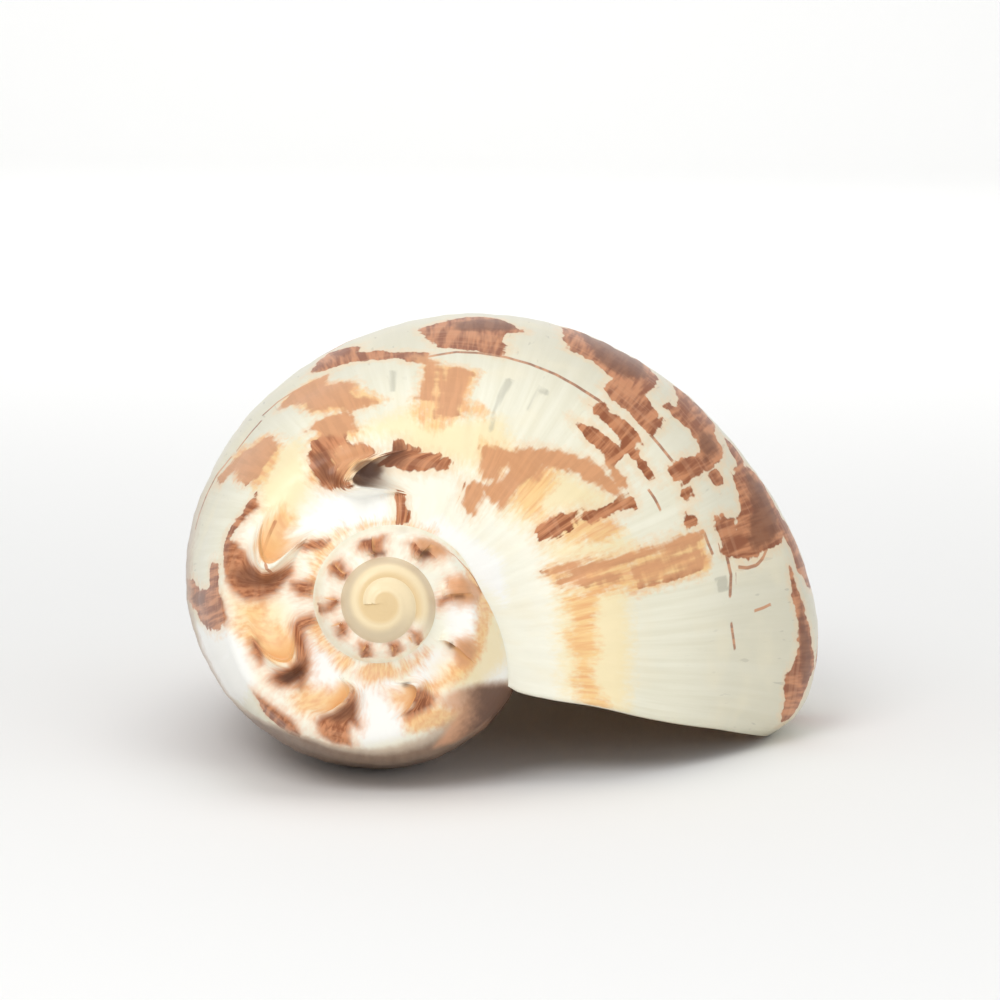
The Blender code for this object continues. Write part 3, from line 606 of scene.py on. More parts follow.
class Skin:
    """Collects patches of points, each with its own notes, and joins them with faces."""

    def __init__(self):
        self.points, self.notes, self.faces, self.count = [], [], [], 0

    def line(self, points, notes):
        self.points.append(np.asarray(points, float))
        self.notes.append(np.asarray(notes, float))
        self.count += len(points)
        return np.arange(self.count - len(points), self.count)

    def strip(self, a, b):
        self.faces += np.stack([a[:-1], a[1:], b[1:], b[:-1]], axis=1).tolist()

    def grid(self, rows):
        lines = [self.line(*row) for row in rows]
        for a, b in zip(lines, lines[1:]):
            self.strip(a, b)
        return lines

    def zip(self, a, a_at, b, b_at):
        """Joins two lines whose points lie at different places along them."""
        i = j = 0
        while i < len(a) - 1 or j < len(b) - 1:
            if j == len(b) - 1 or (i < len(a) - 1 and a_at[i + 1] <= b_at[j + 1]):
                self.faces.append((int(a[i]), int(a[i + 1]), int(b[j])))
                i += 1
            else:
                self.faces.append((int(a[i]), int(b[j + 1]), int(b[j])))
                j += 1


# What each point notes: turn, rail, how far inside the shell, and depth in a scale's hollow.
OUTSIDE, INSIDE, PILLAR = 0.0, 1.0, 2.0


def noted(turns, rail, side=OUTSIDE, hollow=0.0):
    return np.stack(np.broadcast_arrays(turns, rail, side, hollow), axis=-1)


def columns_of(spans):
    """Rails of the columns, from spans (low, high, count). Spans that meet share a column."""
    columns = []
    for low, high, count in spans:
        shared = 1 if columns and columns[-1] == low else 0
        columns += list(np.linspace(low, high, count + 1)[shared:])
    return np.array(columns)


def plain_rows():
    """Turns of the rows that no scale needs, finer where the shell is newer and larger."""
    rows = [k / NEW_ROWS for k in range(round(NEW_ROWS * NEW_SHARE))]
    rows += [NEW_SHARE + k / OLD_ROWS for k in range(round(OLD_ROWS * (1 - NEW_SHARE)))]
    rows += [1 + k / CROWN_ROWS for k in range(CROWN_ROWS)]
    return rows + [2 + k / APEX_ROWS for k in range(round((APEX_TURN - 2) * APEX_ROWS) + 1)]


def all_rows():
    """Rows of the shell as (turn, scale number or -1, step along that scale), in order."""
    rows, taken = [], []
    for number, scale in enumerate(SCALES):
        girth = 2 * math.pi * curve_through(SHOULDER, scale.turn)[0]
        behind = scale.back + scale.bow
        for step in BIG_STEPS if scale.height > SMALL_SCALE else SMALL_STEPS:
            reach = behind if step < 0 else scale.front
            rows.append((scale.turn - step * reach / girth, number, step))
        taken.append((scale.turn - (scale.front + SCALE_CLEARANCE) / girth,
                      scale.turn + (behind + SCALE_CLEARANCE) / girth))
    for turn in plain_rows():
        if not any(low < turn < high for low, high in taken):
            rows.append((turn, -1, 0.0))
    return sorted(rows)


def scale_back(scale, step, rail, teeth):
    """The humped back of a scale: its rise, its shift along the coil, its reach and its hollow."""
    climb = 1 + step
    reach = (scale.back + scale.bow) * step
    wrinkles = (WRINKLE / 10 * np.sin(2 * math.pi * reach / WRINKLE_LENGTH + rail)
                * climb * ease(-step / 0.2) * min(scale.height / 6, 1))
    rise = climb ** BACK_CURVE * (1 - teeth * climb ** 5) + wrinkles
    return rise, scale.bow * climb, reach, 0.0


def scale_front(scale, step, across, teeth):
    """The rim of a scale, the hollow behind it and the run-out: the same four measures."""
    rise = np.interp(step, [0, RIM_STEP, POCKET_STEP],
                     [1, 1 - RIM_ROUND / scale.height, 1 - scale.drop / scale.height])
    rise = rise * (1 - ease((step - POCKET_STEP) / (1 - POCKET_STEP)))
    rise = rise * (1 - teeth * (1 - ease((step - RIM_STEP) / (POCKET_STEP - RIM_STEP))))
    edge = min(RIM_EDGE, 0.2 * scale.height)
    shift = scale.bow * (1 - step) + np.interp(step, [0, RIM_STEP, POCKET_STEP, 0.5],
                                               [0, -edge, POCKET * scale.drop, 0])
    hollow = across * ease((step - RIM_STEP) / 0.06) * (1 - ease((step - 0.15) / 0.45))
    return rise, shift, scale.front * step, hollow


def shell_row(row, rail):
    """One row of the outer skin. On a scale it rises as a humped back, a bowed rim, a hollow."""
    turn, number, step = row
    turns = np.full(len(rail), turn)
    points = smooth_surface(turns, rail) - relief(turns, rail)[:, None] * inward(turns, rail)
    if number < 0:
        return points, noted(turns, rail)
    scale = SCALES[number]
    across = np.clip(1 - ((rail - scale.middle) / scale.half) ** 2, 0, 1)
    teeth = scale.torn * tooth(rail * TEETH + 0.37 * number)
    if step <= 0:
        rise, shift, reach, hollow = scale_back(scale, step, rail, teeth)
    else:
        rise, shift, reach, hollow = scale_front(scale, step, across, teeth)
    breadth = 1.3 if scale.height > SMALL_SCALE else 0.7
    ridge = (SCALE_RIDGE * scale.height / 10 * math.exp(-(reach / breadth) ** 2)
             * ease(rail / 0.5) * ease((scale.middle - rail) / 0.9))
    radius = np.hypot(points[:, 0], points[:, 2])
    angle = np.arctan2(points[:, 2], points[:, 0]) + shift * across / radius
    radius = radius - rise * across * scale.lean
    depth = points[:, 1] - rise * across * scale.height - ridge
    return (np.stack([radius * np.cos(angle), depth, radius * np.sin(angle)], axis=1),
            noted(turns, rail, OUTSIDE, hollow))


def plain_row(turn, rail):
    return shell_row((turn, -1, 0.0), rail)


def one_point(turn, rail):
    points, notes = plain_row(turn, np.array([rail]))
    return points[0], notes[0]


def pillar_point(share, low, high, turns, fold_strength):
    """A point on the pillar, a share of the way from depth low up to depth high."""
    share = np.asarray(share, float)
    depth = low + (high - low) * share
    body = PILLAR_RADIUS * np.clip((SHELL_LENGTH - depth) / 14, 0, 1) ** 0.5
    folds = sum(np.cos(np.clip((share - f) / FOLD_SPACING, -0.5, 0.5) * math.pi) ** 2
                for f in FOLDS)
    radius = body + FOLD_HEIGHT * folds * fold_strength
    return on_axis(radius, depth, turns, LIP_SWEEP[FOOT])


def foot_depth(turns):
    return curve_through(FOOT_RAIL, turns)[..., 1]


def finer(points):
    """The same line with more points, smoothly through the old ones."""
    stations = np.column_stack([np.arange(len(points)), points])
    return curve_through(stations, np.linspace(0, len(points) - 1,
                                               (len(points) - 1) * INNER_FINE + 1))


def inner_wall_row(turn):
    """The inside of the wall at one turn, from under the suture to where it meets the pillar."""
    rail = np.array(INNER_RAILS, float)
    if turn > 0:
        rail = np.where(rail > 7, 7 + (rail - 7) * (UNDER_TIP - 7) / 2, rail)
    thickness = LIP_WALL + (WALL - LIP_WALL) * ease(turn / 0.08)
    turns = np.full(len(rail), turn)
    points = smooth_surface(turns, rail) + thickness * inward(turns, rail)
    points[0] = one_point(turn + 1, UNDER_ATTACH)[0]
    points[-1] = (0, SHELL_LENGTH, 0)
    if turn > 0:
        tip = foot_depth(turn) - (SHELL_LENGTH - foot_depth(turn)) * 0.02 - 2 * WALL
        points[-1] = pillar_point(0, tip, tip, turn, 0.0)
    rail = finer(rail[:, None])[:, 0]
    return finer(points), noted(turn, rail, INSIDE)


def inner_pillar(turn, start):
    """The pillar as the mouth shows it, from where the wall meets it to the last whorl's foot."""
    strength = 0.4 + 0.6 * ease(turn / 0.07)
    share = np.linspace(0, 1, PILLAR_COLUMNS + 1)
    points = pillar_point(share, start[1], foot_depth(turn + 1), turn, strength)
    points[0] = start
    points[-1] = one_point(turn + 1, FOOT)[0]
    return points, noted(turn, FOOT + share, PILLAR)


def outer_whorl(skin, rows):
    """The last turn, from the suture down to the foot of the wall and on to the pillar's tip."""
    rail = columns_of(SPANS)
    skin.grid([shell_row(row, rail) for row in rows])
    share = np.linspace(0, 1, TIP_COLUMNS + 1)
    lines = []
    for row in rows[:-1]:
        points = pillar_point(share, SHELL_LENGTH, foot_depth(row[0]), row[0], 0.0)
        points[-1] = one_point(row[0], FOOT)[0]
        points[0] = (0, SHELL_LENGTH, 0)
        lines.append((points, noted(row[0], FOOT + 1 - share, OUTSIDE)))
    last = skin.grid(lines)[-1]
    seam = skin.line(*inner_pillar(0.0, np.array([0, SHELL_LENGTH, 0])))
    skin.zip(last, share, seam, np.linspace(0, 1, len(seam)))


def spire(skin, every_row):
    """The earlier whorls, each closed by the suture of the one after it, up to the apex."""
    rail = columns_of(SPANS)
    rail = rail[rail <= SPIRE_SEAM]
    rows = [row for row in every_row if row[0] >= 1]
    lines = skin.grid([shell_row(row, rail) for row in rows])
    last = rows[-1][0] - 1
    later = [row for row in every_row if row[0] <= last + 1e-9]
    seam = [shell_row(row, rail[:1]) for row in later]
    seam = skin.line(np.array([points[0] for points, _ in seam]),
                     noted(np.array([row[0] + 1 for row in later]), 3.0))
    skin.zip([line[-1] for line in lines], [row[0] for row in rows],
             seam, [row[0] + 1 for row in later])
    apex = skin.line([(0.0, 0.0, 0.0)], [noted(APEX_TURN, 0.0)])[0]
    inner = [line[0] for line, row in zip(lines, rows) if row[0] >= last - 1e-9]
    rim = inner + list(lines[-1][1:]) + [seam[-1]]
    for a, b in zip(rim, rim[1:]):
        skin.faces.append((int(a), int(b), int(apex)))


def hollow_and_lip(skin):
    """The inside, from the lip one and a half turns back, and the rounded edge of the lip."""
    turns = np.linspace(0, 1, HOLLOW_ROWS + 1) ** HOLLOW_SPACING * HOLLOW_TURNS
    walls = [inner_wall_row(turn) for turn in turns]
    wall_lines = skin.grid(walls)
    pillar_lines = skin.grid([inner_pillar(t, w[0][-1]) for t, w in zip(turns, walls)])
    fine = columns_of(SPANS)
    fine = fine[fine >= UNDER_ATTACH - 1e-9]
    first = skin.line(*plain_row(1.0, fine))
    coarse = fine[::2] if len(fine) % 2 else np.append(fine[::2], fine[-1])
    side_lines = skin.grid([(points, noted(turn + 1, coarse, INSIDE)) for turn in turns[1:]
                            for points, _ in [plain_row(turn + 1, coarse)]])
    skin.zip(first, fine, side_lines[0], coarse)
    end = wall_lines[-1]
    far = list(side_lines[-1]) + list(pillar_lines[-1][-2::-1])
    skin.zip(end, np.linspace(0, 1, len(end)), far, np.linspace(0, 1, len(far)))
    rail = columns_of(SPANS)
    outer = skin.line(*plain_row(0.0, rail))
    inner_rail = walls[0][1][:, 1]
    beside = smooth_surface(np.zeros(len(inner_rail)), inner_rail)
    ahead = beside - smooth_surface(np.full(len(inner_rail), 0.004), inner_rail)
    ahead = ahead / np.maximum(np.linalg.norm(ahead, axis=1, keepdims=True), 1e-9)
    edge = (beside + walls[0][0]) / 2 + LIP_ROUND * ahead
    edge[0], edge[-1] = walls[0][0][0], walls[0][0][-1]
    edge_line = skin.line(edge, noted(0.0, inner_rail, INSIDE * 0.5))
    skin.zip(outer, rail, edge_line, inner_rail)
    skin.strip(edge_line, wall_lines[0])


def lie_down(points):
    """Turns the shell to lie on its mouth."""
    pitch, roll = math.radians(REST_PITCH), math.radians(REST_ROLL)
    tilt = np.array([[1, 0, 0], [0, math.cos(pitch), math.sin(pitch)],
                     [0, -math.sin(pitch), math.cos(pitch)]])
    turn = np.array([[math.cos(roll), 0, math.sin(roll)], [0, 1, 0],
                     [-math.sin(roll), 0, math.cos(roll)]])
    return points @ (turn @ tilt).T


def camera_axes(place_in_room):
    """Where the camera stands, and the directions to its right, up and forward."""
    at, over = place_in_room(CAMERA_AT), place_in_room(np.add(CAMERA_AT, (0, 0, 100)))
    forward = (place_in_room(CAMERA_AIM) - at).normalized()
    right = forward.cross(over - at).normalized()
    return at, right, right.cross(forward).normalized(), forward


class Marker:
    """Lays markings on the outer skin, as distances in millimetres kept for each of its points."""

    def __init__(self, points, notes, faces, axes):
        self.points, self.notes, self.faces, self.axes = points / MM, notes, faces, axes
        self.tree = BVHTree.FromPolygons([Vector(p) for p in points], faces)
        self.outer = notes[:, 2] < EDGE_OF_OUTSIDE
        self.nearest = np.full(len(points), FADE)

    def under_pixel(self, x, y):
        """The place on the outer skin that a pixel shows: x, y, z, turn and rail, or None."""
        at, right, up, forward = self.axes
        ray = forward * (LENS / SENSOR) + right * (x / VIEW_SIZE - 0.5) - up * (y / VIEW_SIZE - 0.5)
        hit, _, face, _ = self.tree.ray_cast(at, ray.normalized())
        if hit is None:
            return None
        corners = list(self.faces[face])
        shares = poly_3d_calc([Vector(self.points[k] * MM) for k in corners], hit)
        turn, rail, side = np.array(shares) @ self.notes[corners, :3]
        return None if side > EDGE_OF_OUTSIDE else (*(hit / MM), turn, rail)

    def drop(self, outline, closed=True):
        """An outline of pixels as places on the shell, all of them on one whorl."""
        middle_x, middle_y = np.mean(outline, axis=0)
        ends = outline[1:] + outline[:1] if closed else outline[1:]
        found = []
        for (x, y), (to_x, to_y) in zip(outline, ends):
            count = max(1, round(math.hypot(to_x - x, to_y - y) / DROP_STEP))
            for k in range(count if closed or (to_x, to_y) != outline[-1] else count + 1):
                at_x, at_y = x + (to_x - x) * k / count, y + (to_y - y) * k / count
                tries = (self.under_pixel(at_x + (middle_x - at_x) * nudge,
                                          at_y + (middle_y - at_y) * nudge) for nudge in NUDGES)
                found.append(next((place for place in tries if place), None))
        found = np.array([place for place in found if place])
        middle_turn = np.sort(found[:, 3])[len(found) // 2]
        return found[np.abs(found[:, 3] - middle_turn) < SAME_WHORL]

    def near(self, path, reach):
        """The outer points of the same whorl within reach of a path."""
        low, high = path[:, :3].min(axis=0) - reach, path[:, :3].max(axis=0) + reach
        within = ((self.points > low) & (self.points < high)).all(axis=1)
        turn = self.notes[:, 0]
        whorl = ((turn > path[:, 3].min() - WHORL_REACH)
                 & (turn < path[:, 3].max() + WHORL_REACH))
        return np.where(within & whorl & self.outer)[0]

    def to_segments(self, near, start, end):
        """The distance of points to each segment, and how far along each the nearest place is."""
        along = end[:, :3] - start[:, :3]
        apart = self.points[near][:, None, :] - start[None, :, :3]
        share = np.einsum("pki,ki->pk", apart, along) / np.maximum((along ** 2).sum(axis=1), 1e-9)
        gap = apart - np.clip(share, 0, 1)[:, :, None] * along[None]
        return np.sqrt((gap ** 2).sum(axis=2)), share, np.sqrt((along ** 2).sum(axis=1))

    def patch(self, field, path):
        """Marks a closed path: positive inside it, negative outside, in millimetres."""
        near = self.near(path, FADE)
        start, end = path, np.roll(path, -1, axis=0)
        distance = self.to_segments(near, start, end)[0].min(axis=1)
        turn, rail = self.notes[near, 0][:, None], self.notes[near, 1][:, None]
        crosses = (start[:, 4] > rail) != (end[:, 4] > rail)
        rise = np.where(end[:, 4] == start[:, 4], 1e-9, end[:, 4] - start[:, 4])
        at = start[:, 3] + (rail - start[:, 4]) * (end[:, 3] - start[:, 3]) / rise
        inside = (crosses & (turn < at)).sum(axis=1) % 2 == 1
        field[near] = np.maximum(field[near], np.where(inside, distance, -distance))

    def line(self, offset, reach, path, width):
        """Marks a thin line: how far to its side a point is, in half widths, and if it is along."""
        near = self.near(path, FADE)
        start, end = path[:-1], path[1:]
        distance, share, length = self.to_segments(near, start, end)
        k = distance.argmin(axis=1)
        n = np.arange(len(near))
        before = np.concatenate([[0], np.cumsum(length)])
        along = before[k] + share[n, k] * length[k]
        turn, rail = self.notes[near, 0], self.notes[near, 1]
        side = np.sign((end[k, 3] - start[k, 3]) * (rail - start[k, 4])
                       - (end[k, 4] - start[k, 4]) * (turn - start[k, 3]))
        apart = distance[n, k]
        first = apart < self.nearest[near]
        self.nearest[near[first]] = apart[first]
        offset[near[first]] = (side * apart)[first] / (width * PIXEL / 2)
        reach[near[first]] = np.minimum(np.minimum(along, before[-1] - along),
                                        LINE_REACH - apart)[first]


def unseen_blotches(marker, field, in_room):
    """Blotches in spiral rows on the sides that the view doesn't show, each of a few ragged bars."""
    draw = random.Random(BLOTCH_SEED)
    for rail, low, high, breadth, gap in UNSEEN_ROWS:
        turn = low + draw.uniform(0, 0.03)
        while turn < high:
            length = draw.uniform(0.014, 0.05)
            for bar in range(draw.choice((1, 2, 2, 3))):
                wide = length * (1 if bar == 0 else draw.uniform(0.25, 0.6))
                tall = breadth * (draw.uniform(0.5, 0.9) if bar == 0 else draw.uniform(0.7, 1.5))
                start = turn + draw.uniform(0, 1) * (length - wide)
                middle = rail + (0 if bar == 0 else draw.uniform(-0.8, 0.8) * breadth)
                lean = draw.uniform(-0.02, 0.02)
                ring = [(start, middle - tall), (start + wide * 0.5, middle - tall * 1.2),
                        (start + wide, middle - tall * 0.8), (start + wide + lean, middle + tall),
                        (start + wide * 0.4 + lean, middle + tall * 0.8), (start + lean, middle + tall)]
                around = ring + ring[:1]
                turns, rails = np.maximum(np.array([
                    (t + (to_t - t) * k / 5, r + (to_r - r) * k / 5)
                    for (t, r), (to_t, to_r) in zip(ring, around[1:]) for k in range(5)]).T, 0.001)
                path = np.column_stack([in_room(smooth_surface(turns, rails)) / MM, turns, rails])
                marker.patch(field, path)
            turn += length * (1 + draw.uniform(0.1, 2) * gap)


def markings(marker, in_room):
    """By name: distances to the edges of the patches, and where a point lies on the thin lines."""
    count = len(marker.points)
    fields = {name: np.full(count, -FADE) for name in MARKINGS}
    for name, outlines in MARKINGS.items():
        for outline in outlines.values():
            marker.patch(fields[name], marker.drop(outline))
    unseen_blotches(marker, fields["brown"], in_room)
    offset, reach = np.full(count, FAR_OFF), np.full(count, -FAR_OFF)
    for width, route in LINES.values():
        marker.line(offset, reach, marker.drop(route, closed=False), width)
    return {**fields, "offset": offset, "reach": reach}


def build_shell():
    skin = Skin()
    rows = all_rows()
    outer_whorl(skin, [row for row in rows if row[0] <= 1])
    spire(skin, rows)
    hollow_and_lip(skin)
    laid = lie_down(np.concatenate(skin.points))
    low, high = laid.min(axis=0), laid.max(axis=0)
    box_low, box_high = np.array(cad_low), np.array(cad_high)
    scale = (box_high - box_low) / (high - low)
    points = (laid - low) * scale + box_low
    notes = np.concatenate(skin.notes)
    mesh = bpy.data.meshes.new("melon_shell_skin")
    mesh.from_pydata(points.tolist(), [], skin.faces)
    corner = np.zeros(len(mesh.loops), np.int32)
    mesh.loops.foreach_get("vertex_index", corner)

    def in_room(shell_points):
        return (lie_down(shell_points) - low) * scale + box_low

    def place_in_room(point):
        return Vector(in_room(np.array([point], float))[0])

    marker = Marker(points, notes, skin.faces, camera_axes(place_in_room))
    turn, rail, side, hollow = notes.T
    values = {"along": grown(turn), "across": across_length(turn, rail), "turn": turn,
              "side": side, "hollow": hollow, "rail": rail, **markings(marker, in_room)}
    for name, parts in CORNER_VALUES.items():
        vectors = np.zeros((len(points), 3), np.float32)
        for k, part in enumerate(parts):
            vectors[:, k] = values[part]
        layer = mesh.attributes.new(name, "FLOAT_VECTOR", "CORNER")
        layer.data.foreach_set("vector", vectors[corner].ravel())
    edit = bmesh.new()
    edit.from_mesh(mesh)
    bmesh.ops.remove_doubles(edit, verts=edit.verts, dist=WELD * MM)
    bmesh.ops.recalc_face_normals(edit, faces=edit.faces)
    edit.to_mesh(mesh)
    edit.free()
    mesh.shade_smooth()
    shell = bpy.data.objects.new("melon_shell_skin", mesh)
    bpy.context.scene.collection.objects.link(shell)
    return shell, place_in_room


class Socket:
    """A value in a finish. Sums and products on it add Math nodes."""

    def __init__(self, finish, output):
        self.finish, self.output = finish, output

    def __add__(self, other):
        return self.finish.maths("ADD", self, other)

    __radd__ = __add__

    def __sub__(self, other):
        return self.finish.maths("SUBTRACT", self, other)

    def __rsub__(self, other):
        return self.finish.maths("SUBTRACT", other, self)

    def __mul__(self, other):
        return self.finish.maths("MULTIPLY", self, other)

    __rmul__ = __mul__

    def __truediv__(self, other):
        return self.finish.maths("DIVIDE", self, other)


class Finish:
    """One material and the nodes that make it."""

    def __init__(self, name):
        self.material = bpy.data.materials.new(name)
        self.material.use_nodes = True
        self.tree = self.material.node_tree
        self.shader = self.tree.nodes["Principled BSDF"]

    def node(self, kind, settings=None, sockets=None, output=0):
        """Adds a node, first its settings and then the values or links of its sockets."""
        made = self.tree.nodes.new(kind)
        for name, value in (settings or {}).items():
            setattr(made, name, value)
        for name, value in (sockets or {}).items():
            self.feed(made.inputs[name], value)
        return Socket(self, made.outputs[output])

    def feed(self, entry, value):
        """Gives a socket a link, a named colour or a plain value."""
        if isinstance(value, Socket):
            self.tree.links.new(value.output, entry)
        else:
            entry.default_value = paint(value) if isinstance(value, str) else value

    def maths(self, operation, *values):
        return self.node("ShaderNodeMath", {"operation": operation}, dict(enumerate(values)))

    def between(self, value, low, high):
        """0 at low and 1 at high, smoothly. Low may be the greater of the two."""
        return self.node("ShaderNodeMapRange", {"interpolation_type": "SMOOTHSTEP"},
                         {"Value": value, "From Min": low, "From Max": high})

    def mix(self, share, first, second):
        """The first colour, with a share of the second laid over it."""
        return self.node("ShaderNodeMix", {"data_type": "RGBA"},
                         {0: share, 6: first, 7: second}, output=2)

    def vector(self, x, y, z):
        return self.node("ShaderNodeCombineXYZ", None, {"X": x, "Y": y, "Z": z})

    def noise(self, x, y, z, detail=2.0, roughness=0.5):
        """Noise about a place, one lump for each unit, from 0 to 1."""
        return self.node("ShaderNodeTexNoise", {"noise_dimensions": "3D"},
                         {"Vector": self.vector(x, y, z), "Scale": 1.0, "Detail": detail,
                          "Roughness": roughness})


def paint(name):
    """A named colour as the linear light that a socket takes."""
    shares = [value / 255 for value in COLOURS[name]]
    return tuple(s / 12.92 if s < 0.04045 else ((s + 0.055) / 1.055) ** 2.4
                 for s in shares) + (1.0,)


class ShellFinish(Finish):
    """The shell's glossy finish, worked out from what each corner of the mesh holds."""

    def __init__(self):
        super().__init__("glossy_shell")
        for name, parts in CORNER_VALUES.items():
            vector = self.node("ShaderNodeAttribute", {"attribute_name": name}, output="Vector")
            split = self.node("ShaderNodeSeparateXYZ", None, {"Vector": vector}).output.node
            for part, output in zip(parts, split.outputs):
                setattr(self, part, Socket(self, output))
        self.crown = self.between(self.rail, 2.9, 2.2) * self.between(self.turn, 0.3, 0.6)
        self.lower = self.between(self.rail, 3.2, 4.6)
        self.grain(self.along, self.across)

    def grain(self, along, across):
        """The noises. Growth runs across the coil, so streaks are short along it."""
        self.streak = self.noise(along * 0.5, across * 0.02, 0.0, 3.0)
        self.cloud = self.noise(along * 0.09, across * 0.07, 3.0, 2.0)
        self.hoop = self.noise(along * 0.04, across * 0.5, 17.0, 2.0)
        self.bands = self.noise(along * 0.05, across * 0.34, 21.0, 2.0) - 0.5
        self.tick = self.noise(along * 0.7, across * 0.14, 27.0, 1.0)
        teeth = self.noise(along * 0.4, across * 0.045, 5.0, 2.0, 0.6) - 0.5
        speck = self.noise(along * 0.7, across * 0.45, 8.0, 2.0) - 0.5
        stripe = self.noise(along * 0.55, across * 0.06, 11.0, 2.0, 0.6)
        # On the crown the mottling is round instead of drawn out across the growth.
        self.teeth = teeth + (speck * 0.6 - teeth) * self.crown * 0.75
        self.stripe = stripe + (speck + 0.5 - stripe) * self.crown * 0.6
        self.speck = speck * (1 - self.crown * 0.55)

    def ground_coat(self):
        """The cream under the markings, its washes, whiter patches of painted highlight and pale ramp,
        and the halo round the brown patches.
        """
        speck, teeth, crown = self.speck, self.teeth, self.crown
        base = self.mix(self.between(self.streak, 0.3, 0.7), "cream", "cream_streak")
        base = self.mix(self.between(self.rail, 3.1, 2.2) * 0.8, base, "crown_white")
        base = self.mix(self.lower * 0.7, base, "lower_grey")
        base = self.mix(self.between(self.tick, 0.68, 0.74) * self.lower * 0.4, base, "tick_grey")
        base = self.mix(self.between(self.cloud, 0.45, 0.75) * 0.35, base, "cloud")
        # Whiter where the ramps catch the light, a painted highlight; beside the crown it is also the
        # ramp's own pale cream.
        base = self.mix(self.between(self.white + speck * 4, -2.5, 1.5) * 0.9, base, "white")
        base = self.mix(self.between(self.yellow + speck * 6, -4.5, 3.0) * 0.75, base, "yellow")
        near_brown = self.between(self.brown + speck * 5 + teeth * 3, -3.6, 0.4)
        halo = self.mix(crown, "halo", "crown_halo")
        base = self.mix(near_brown * (0.5 + crown * 0.3), base, halo)
        ragged = teeth * 2.5 + speck * 5 + (self.cloud - 0.5) * 9
        warm = self.mix(self.between(self.stripe, 0.35, 0.7), "light_orange", "orange")
        return self.mix(self.between(self.orange + ragged, -2.4, 1.8) * 0.85, base, warm)

    def ink(self):
        """The brown of the patches, striped along the growth lines."""
        ink = self.mix(self.between(self.stripe, 0.38, 0.62), "ink", "light_ink")
        ink = self.mix(self.between(self.hoop, 0.5, 0.62) * 0.2, ink, "hoop_ink")
        ink = self.mix(self.between(self.faded + self.speck * 3, -1.5, 2.0) * 0.8, ink, "faded_ink")
        return self.mix(self.between(self.dark + self.speck * 3, -1.5, 1.5) * 0.75, ink, "dark_ink")

    def marked(self):
        """1 within a ragged brown patch or on a thin line, and 0 beside them."""
        crown = self.crown
        soft = 0.28 + crown * 0.9 + self.between(self.faded, -1.0, 3.0) * 0.5
        ragged = (self.teeth * (4.2 - crown * 3.2) + self.bands * (2.6 - crown * 2.6)
                  + self.speck * (0.8 + crown))
        patch = self.between((self.brown + 0.25 + ragged) / soft, -1, 1)
        thin = (self.between(self.maths("ABSOLUTE", self.offset), 1.3, 0.7)
                * self.between(self.reach, -0.2, 0.4))
        return self.maths("MAXIMUM", patch, thin * 0.85)

    def shade_rim_and_lip(self, colour):
        """The oldest side of the last whorl darkens towards its outer rim with painted shade, streaked
        along the growth lines; where the mouth begins, a peach glaze under the lip deepens into painted
        shade.
        """
        turn, rail, speck = self.turn, self.rail, self.speck
        start = 4.36 - self.between(turn, 0.66, 0.77) * 2.05
        shaded_rim = (self.between(rail - start, 4.0, 2.6) * self.between(turn, 0.42, 0.55)
                * self.between(turn, 0.99, 0.97))
        # Two steps of painted shade towards the rim, the second darker and a little further out.
        for name, grain, low, high, strength in (("rim_shade", 0.25, -0.1, 0.2, 0.65),
                                                 ("deep_rim_shade", 0.15, 0.1, 0.6, 0.85)):
            share = self.between(rail - start + speck * grain, low, high) * shaded_rim * strength
            colour = self.mix(share, colour, self.mix(self.stripe, name, "light_" + name))
        # How far under the lip a place lies: the peach glaze first, then painted shade.
        depth = (turn - 0.93) * 14 + (rail - 2.5) * 0.6 + speck * 0.4
        below = (self.between(turn, 0.93, 0.97) * self.between(turn, 1.06, 1.02)
                 * self.between(rail, 3.0, 3.3) * self.between(rail, 7.0, 5.0))
        here = self.maths("MAXIMUM", self.between(self.glaze + speck, -2.2, 1.0), below)
        colour = self.mix(self.between(depth, -1.0, 0.0) * here * 0.85, colour, "glaze_edge")
        return self.mix(self.between(depth, -0.1, 0.75) * here * 0.92, colour, "glaze")

    def dome_and_hollows(self, colour):
        """The dome at the apex, the hollows of the scales with painted shade in the deepest, and the
        inside of the shell.
        """
        turn, rail = self.turn, self.rail
        dome = self.between(turn + (self.cloud - 0.5) * 0.1, 1.96, 2.04)
        colour = self.mix(dome, colour, self.mix(self.between(rail, 0.2, 1.4), "dome", "light_dome"))
        rim = (self.between(turn, 1.96, 2.06) * self.between(turn, 3.1, 2.9)
               * self.between(rail, 1.7, 2.4))
        colour = self.mix(rim * 0.8, colour, "dome_rim")
        # The hollows are orange; the first scale's deep hollow gets painted shade instead.
        pit = self.mix(self.between(turn, 0.36, 0.42), "first_hollow_shade", "pit")
        colour = self.mix(self.between(self.hollow, 0.1, 0.9) * 0.85, colour, pit)
        # Painted shade in the pits under the scale rims.
        colour = self.mix(self.between(self.deep + self.speck, -0.9, 0.9) * 0.8, colour, "pit_shadow_brown")
        inside = self.mix(self.between(self.streak, 0.3, 0.7), "inside", "inside_streak")
        return self.mix(self.between(self.side, 0.2, 0.8), colour, inside)

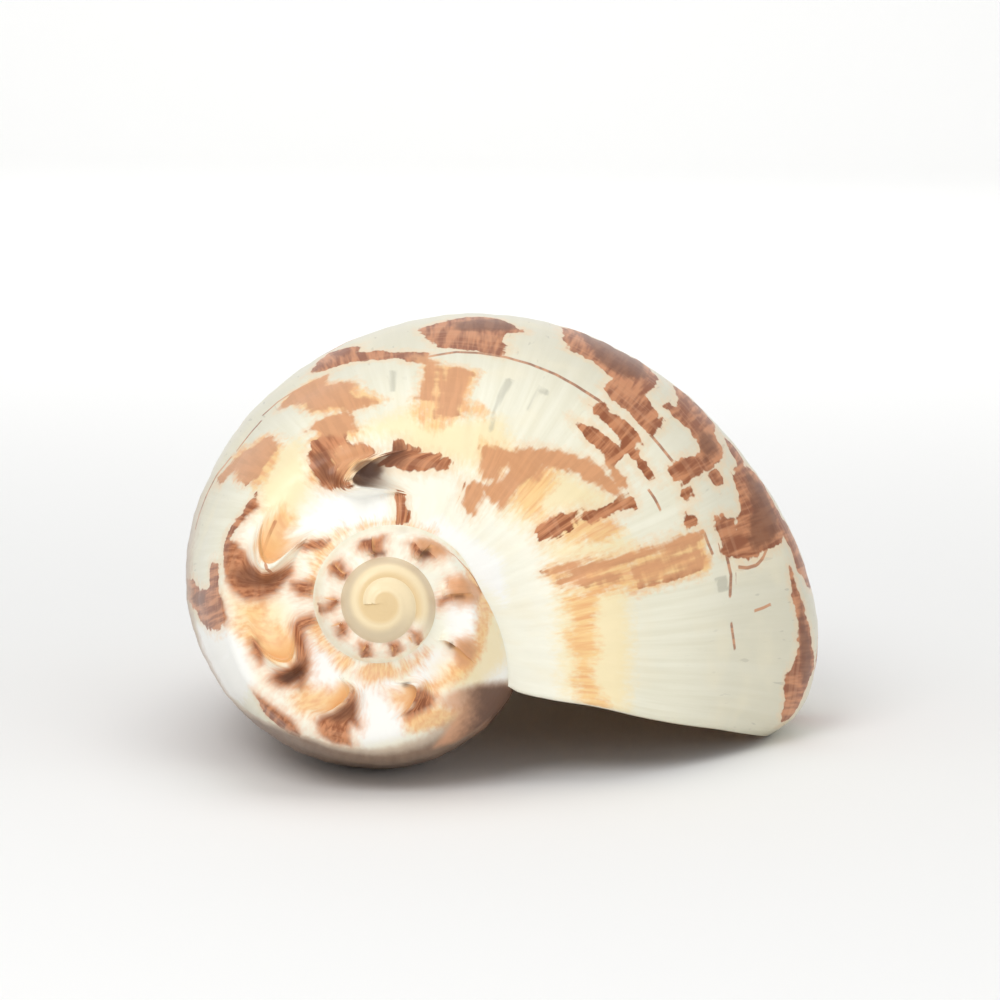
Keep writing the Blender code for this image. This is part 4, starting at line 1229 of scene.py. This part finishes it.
    def complete(self):
        """Feeds the shader its colour, its gloss and its fine relief."""
        marked = self.marked()
        colour = self.mix(marked, self.ground_coat(), self.ink())
        grey = self.between(self.grey + self.teeth * 2, -0.5, 0.4)
        colour = self.shade_rim_and_lip(self.mix(grey * 0.45, colour, "grey"))
        fine = self.noise(self.along * 1.3, self.across * 0.05, 9.0, 3.0)
        lumps = self.noise(self.along * 0.25, self.across * 0.2, 14.0, 2.0)
        height = fine * (0.15 + 0.5 * self.lower) + lumps * 0.7
        bump = self.node("ShaderNodeBump", None,
                         {"Strength": 0.5, "Distance": 0.0003, "Height": height})
        rough = 0.3 + self.between(self.cloud, 0.4, 0.8) * 0.1 + marked * 0.06
        for name, value in (("Base Color", self.dome_and_hollows(colour)), ("Roughness", rough),
                            ("Normal", bump), ("IOR", 1.32), ("Coat Weight", 0.12),
                            ("Coat IOR", 1.4), ("Coat Roughness", 0.12)):
            self.feed(self.shader.inputs[name], value)
        return self.material


def stage_finish():
    ground = Finish("pale_ground")
    ground.feed(ground.shader.inputs["Base Color"], "ground")
    ground.feed(ground.shader.inputs["Roughness"], 0.9)
    return ground.material


def make_ground():
    """A pale floor that sweeps up behind the shell with no edge."""
    bend = [(FLOOR_FAR + FLOOR_BEND * math.sin(a), FLOOR_BEND * (1 - math.cos(a)))
            for a in np.linspace(0, math.pi / 2, 16)]
    profile = [(FLOOR_NEAR, 0.0), *bend, (FLOOR_FAR + FLOOR_BEND, FLOOR_BEND + FLOOR_WALL)]
    points = [(x, y, z) for y, z in profile for x in (-FLOOR_HALF, FLOOR_HALF)]
    faces = [(2 * k, 2 * k + 1, 2 * k + 3, 2 * k + 2) for k in range(len(profile) - 1)]
    mesh = bpy.data.meshes.new("ground")
    mesh.from_pydata(points, [], faces)
    mesh.shade_smooth()
    ground = bpy.data.objects.new("ground", mesh)
    ground.data.materials.append(stage_finish())
    bpy.context.scene.collection.objects.link(ground)


def lamp(name, at, aim, size, watts):
    light = bpy.data.lights.new(name, "AREA")
    light.shape, light.size, light.energy = "DISK", size, watts
    holder = bpy.data.objects.new(name, light)
    holder.location = at
    holder.rotation_mode = "QUATERNION"
    holder.rotation_quaternion = (Vector(aim) - Vector(at)).to_track_quat("-Z", "Y")
    bpy.context.scene.collection.objects.link(holder)


def light_the_room():
    world = bpy.data.worlds.new("soft_room")
    world.use_nodes = True
    sky = world.node_tree.nodes["Background"]
    sky.inputs["Color"].default_value = (1, 1, 1, 1)
    sky.inputs["Strength"].default_value = ROOM_LIGHT
    bpy.context.scene.world = world
    for name, settings in LAMPS.items():
        lamp(name, *settings)


def put_camera(place_in_room):
    at, right, up, forward = camera_axes(place_in_room)
    camera = bpy.data.objects.new("camera", bpy.data.cameras.new("camera"))
    camera.data.lens, camera.data.sensor_width = LENS, SENSOR
    camera.data.clip_start, camera.data.clip_end = 0.05, 50
    turn = Matrix((right, up, -forward)).transposed()
    camera.matrix_world = Matrix.Translation(at) @ turn.to_4x4()
    bpy.context.scene.collection.objects.link(camera)
    bpy.context.scene.camera = camera


shell, place_in_room = build_shell()
shell.data.materials.append(ShellFinish().complete())
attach(shell, "root")
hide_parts("melon_shell")
make_ground()
light_the_room()
put_camera(place_in_room)
bpy.context.scene.view_settings.view_transform = "Standard"
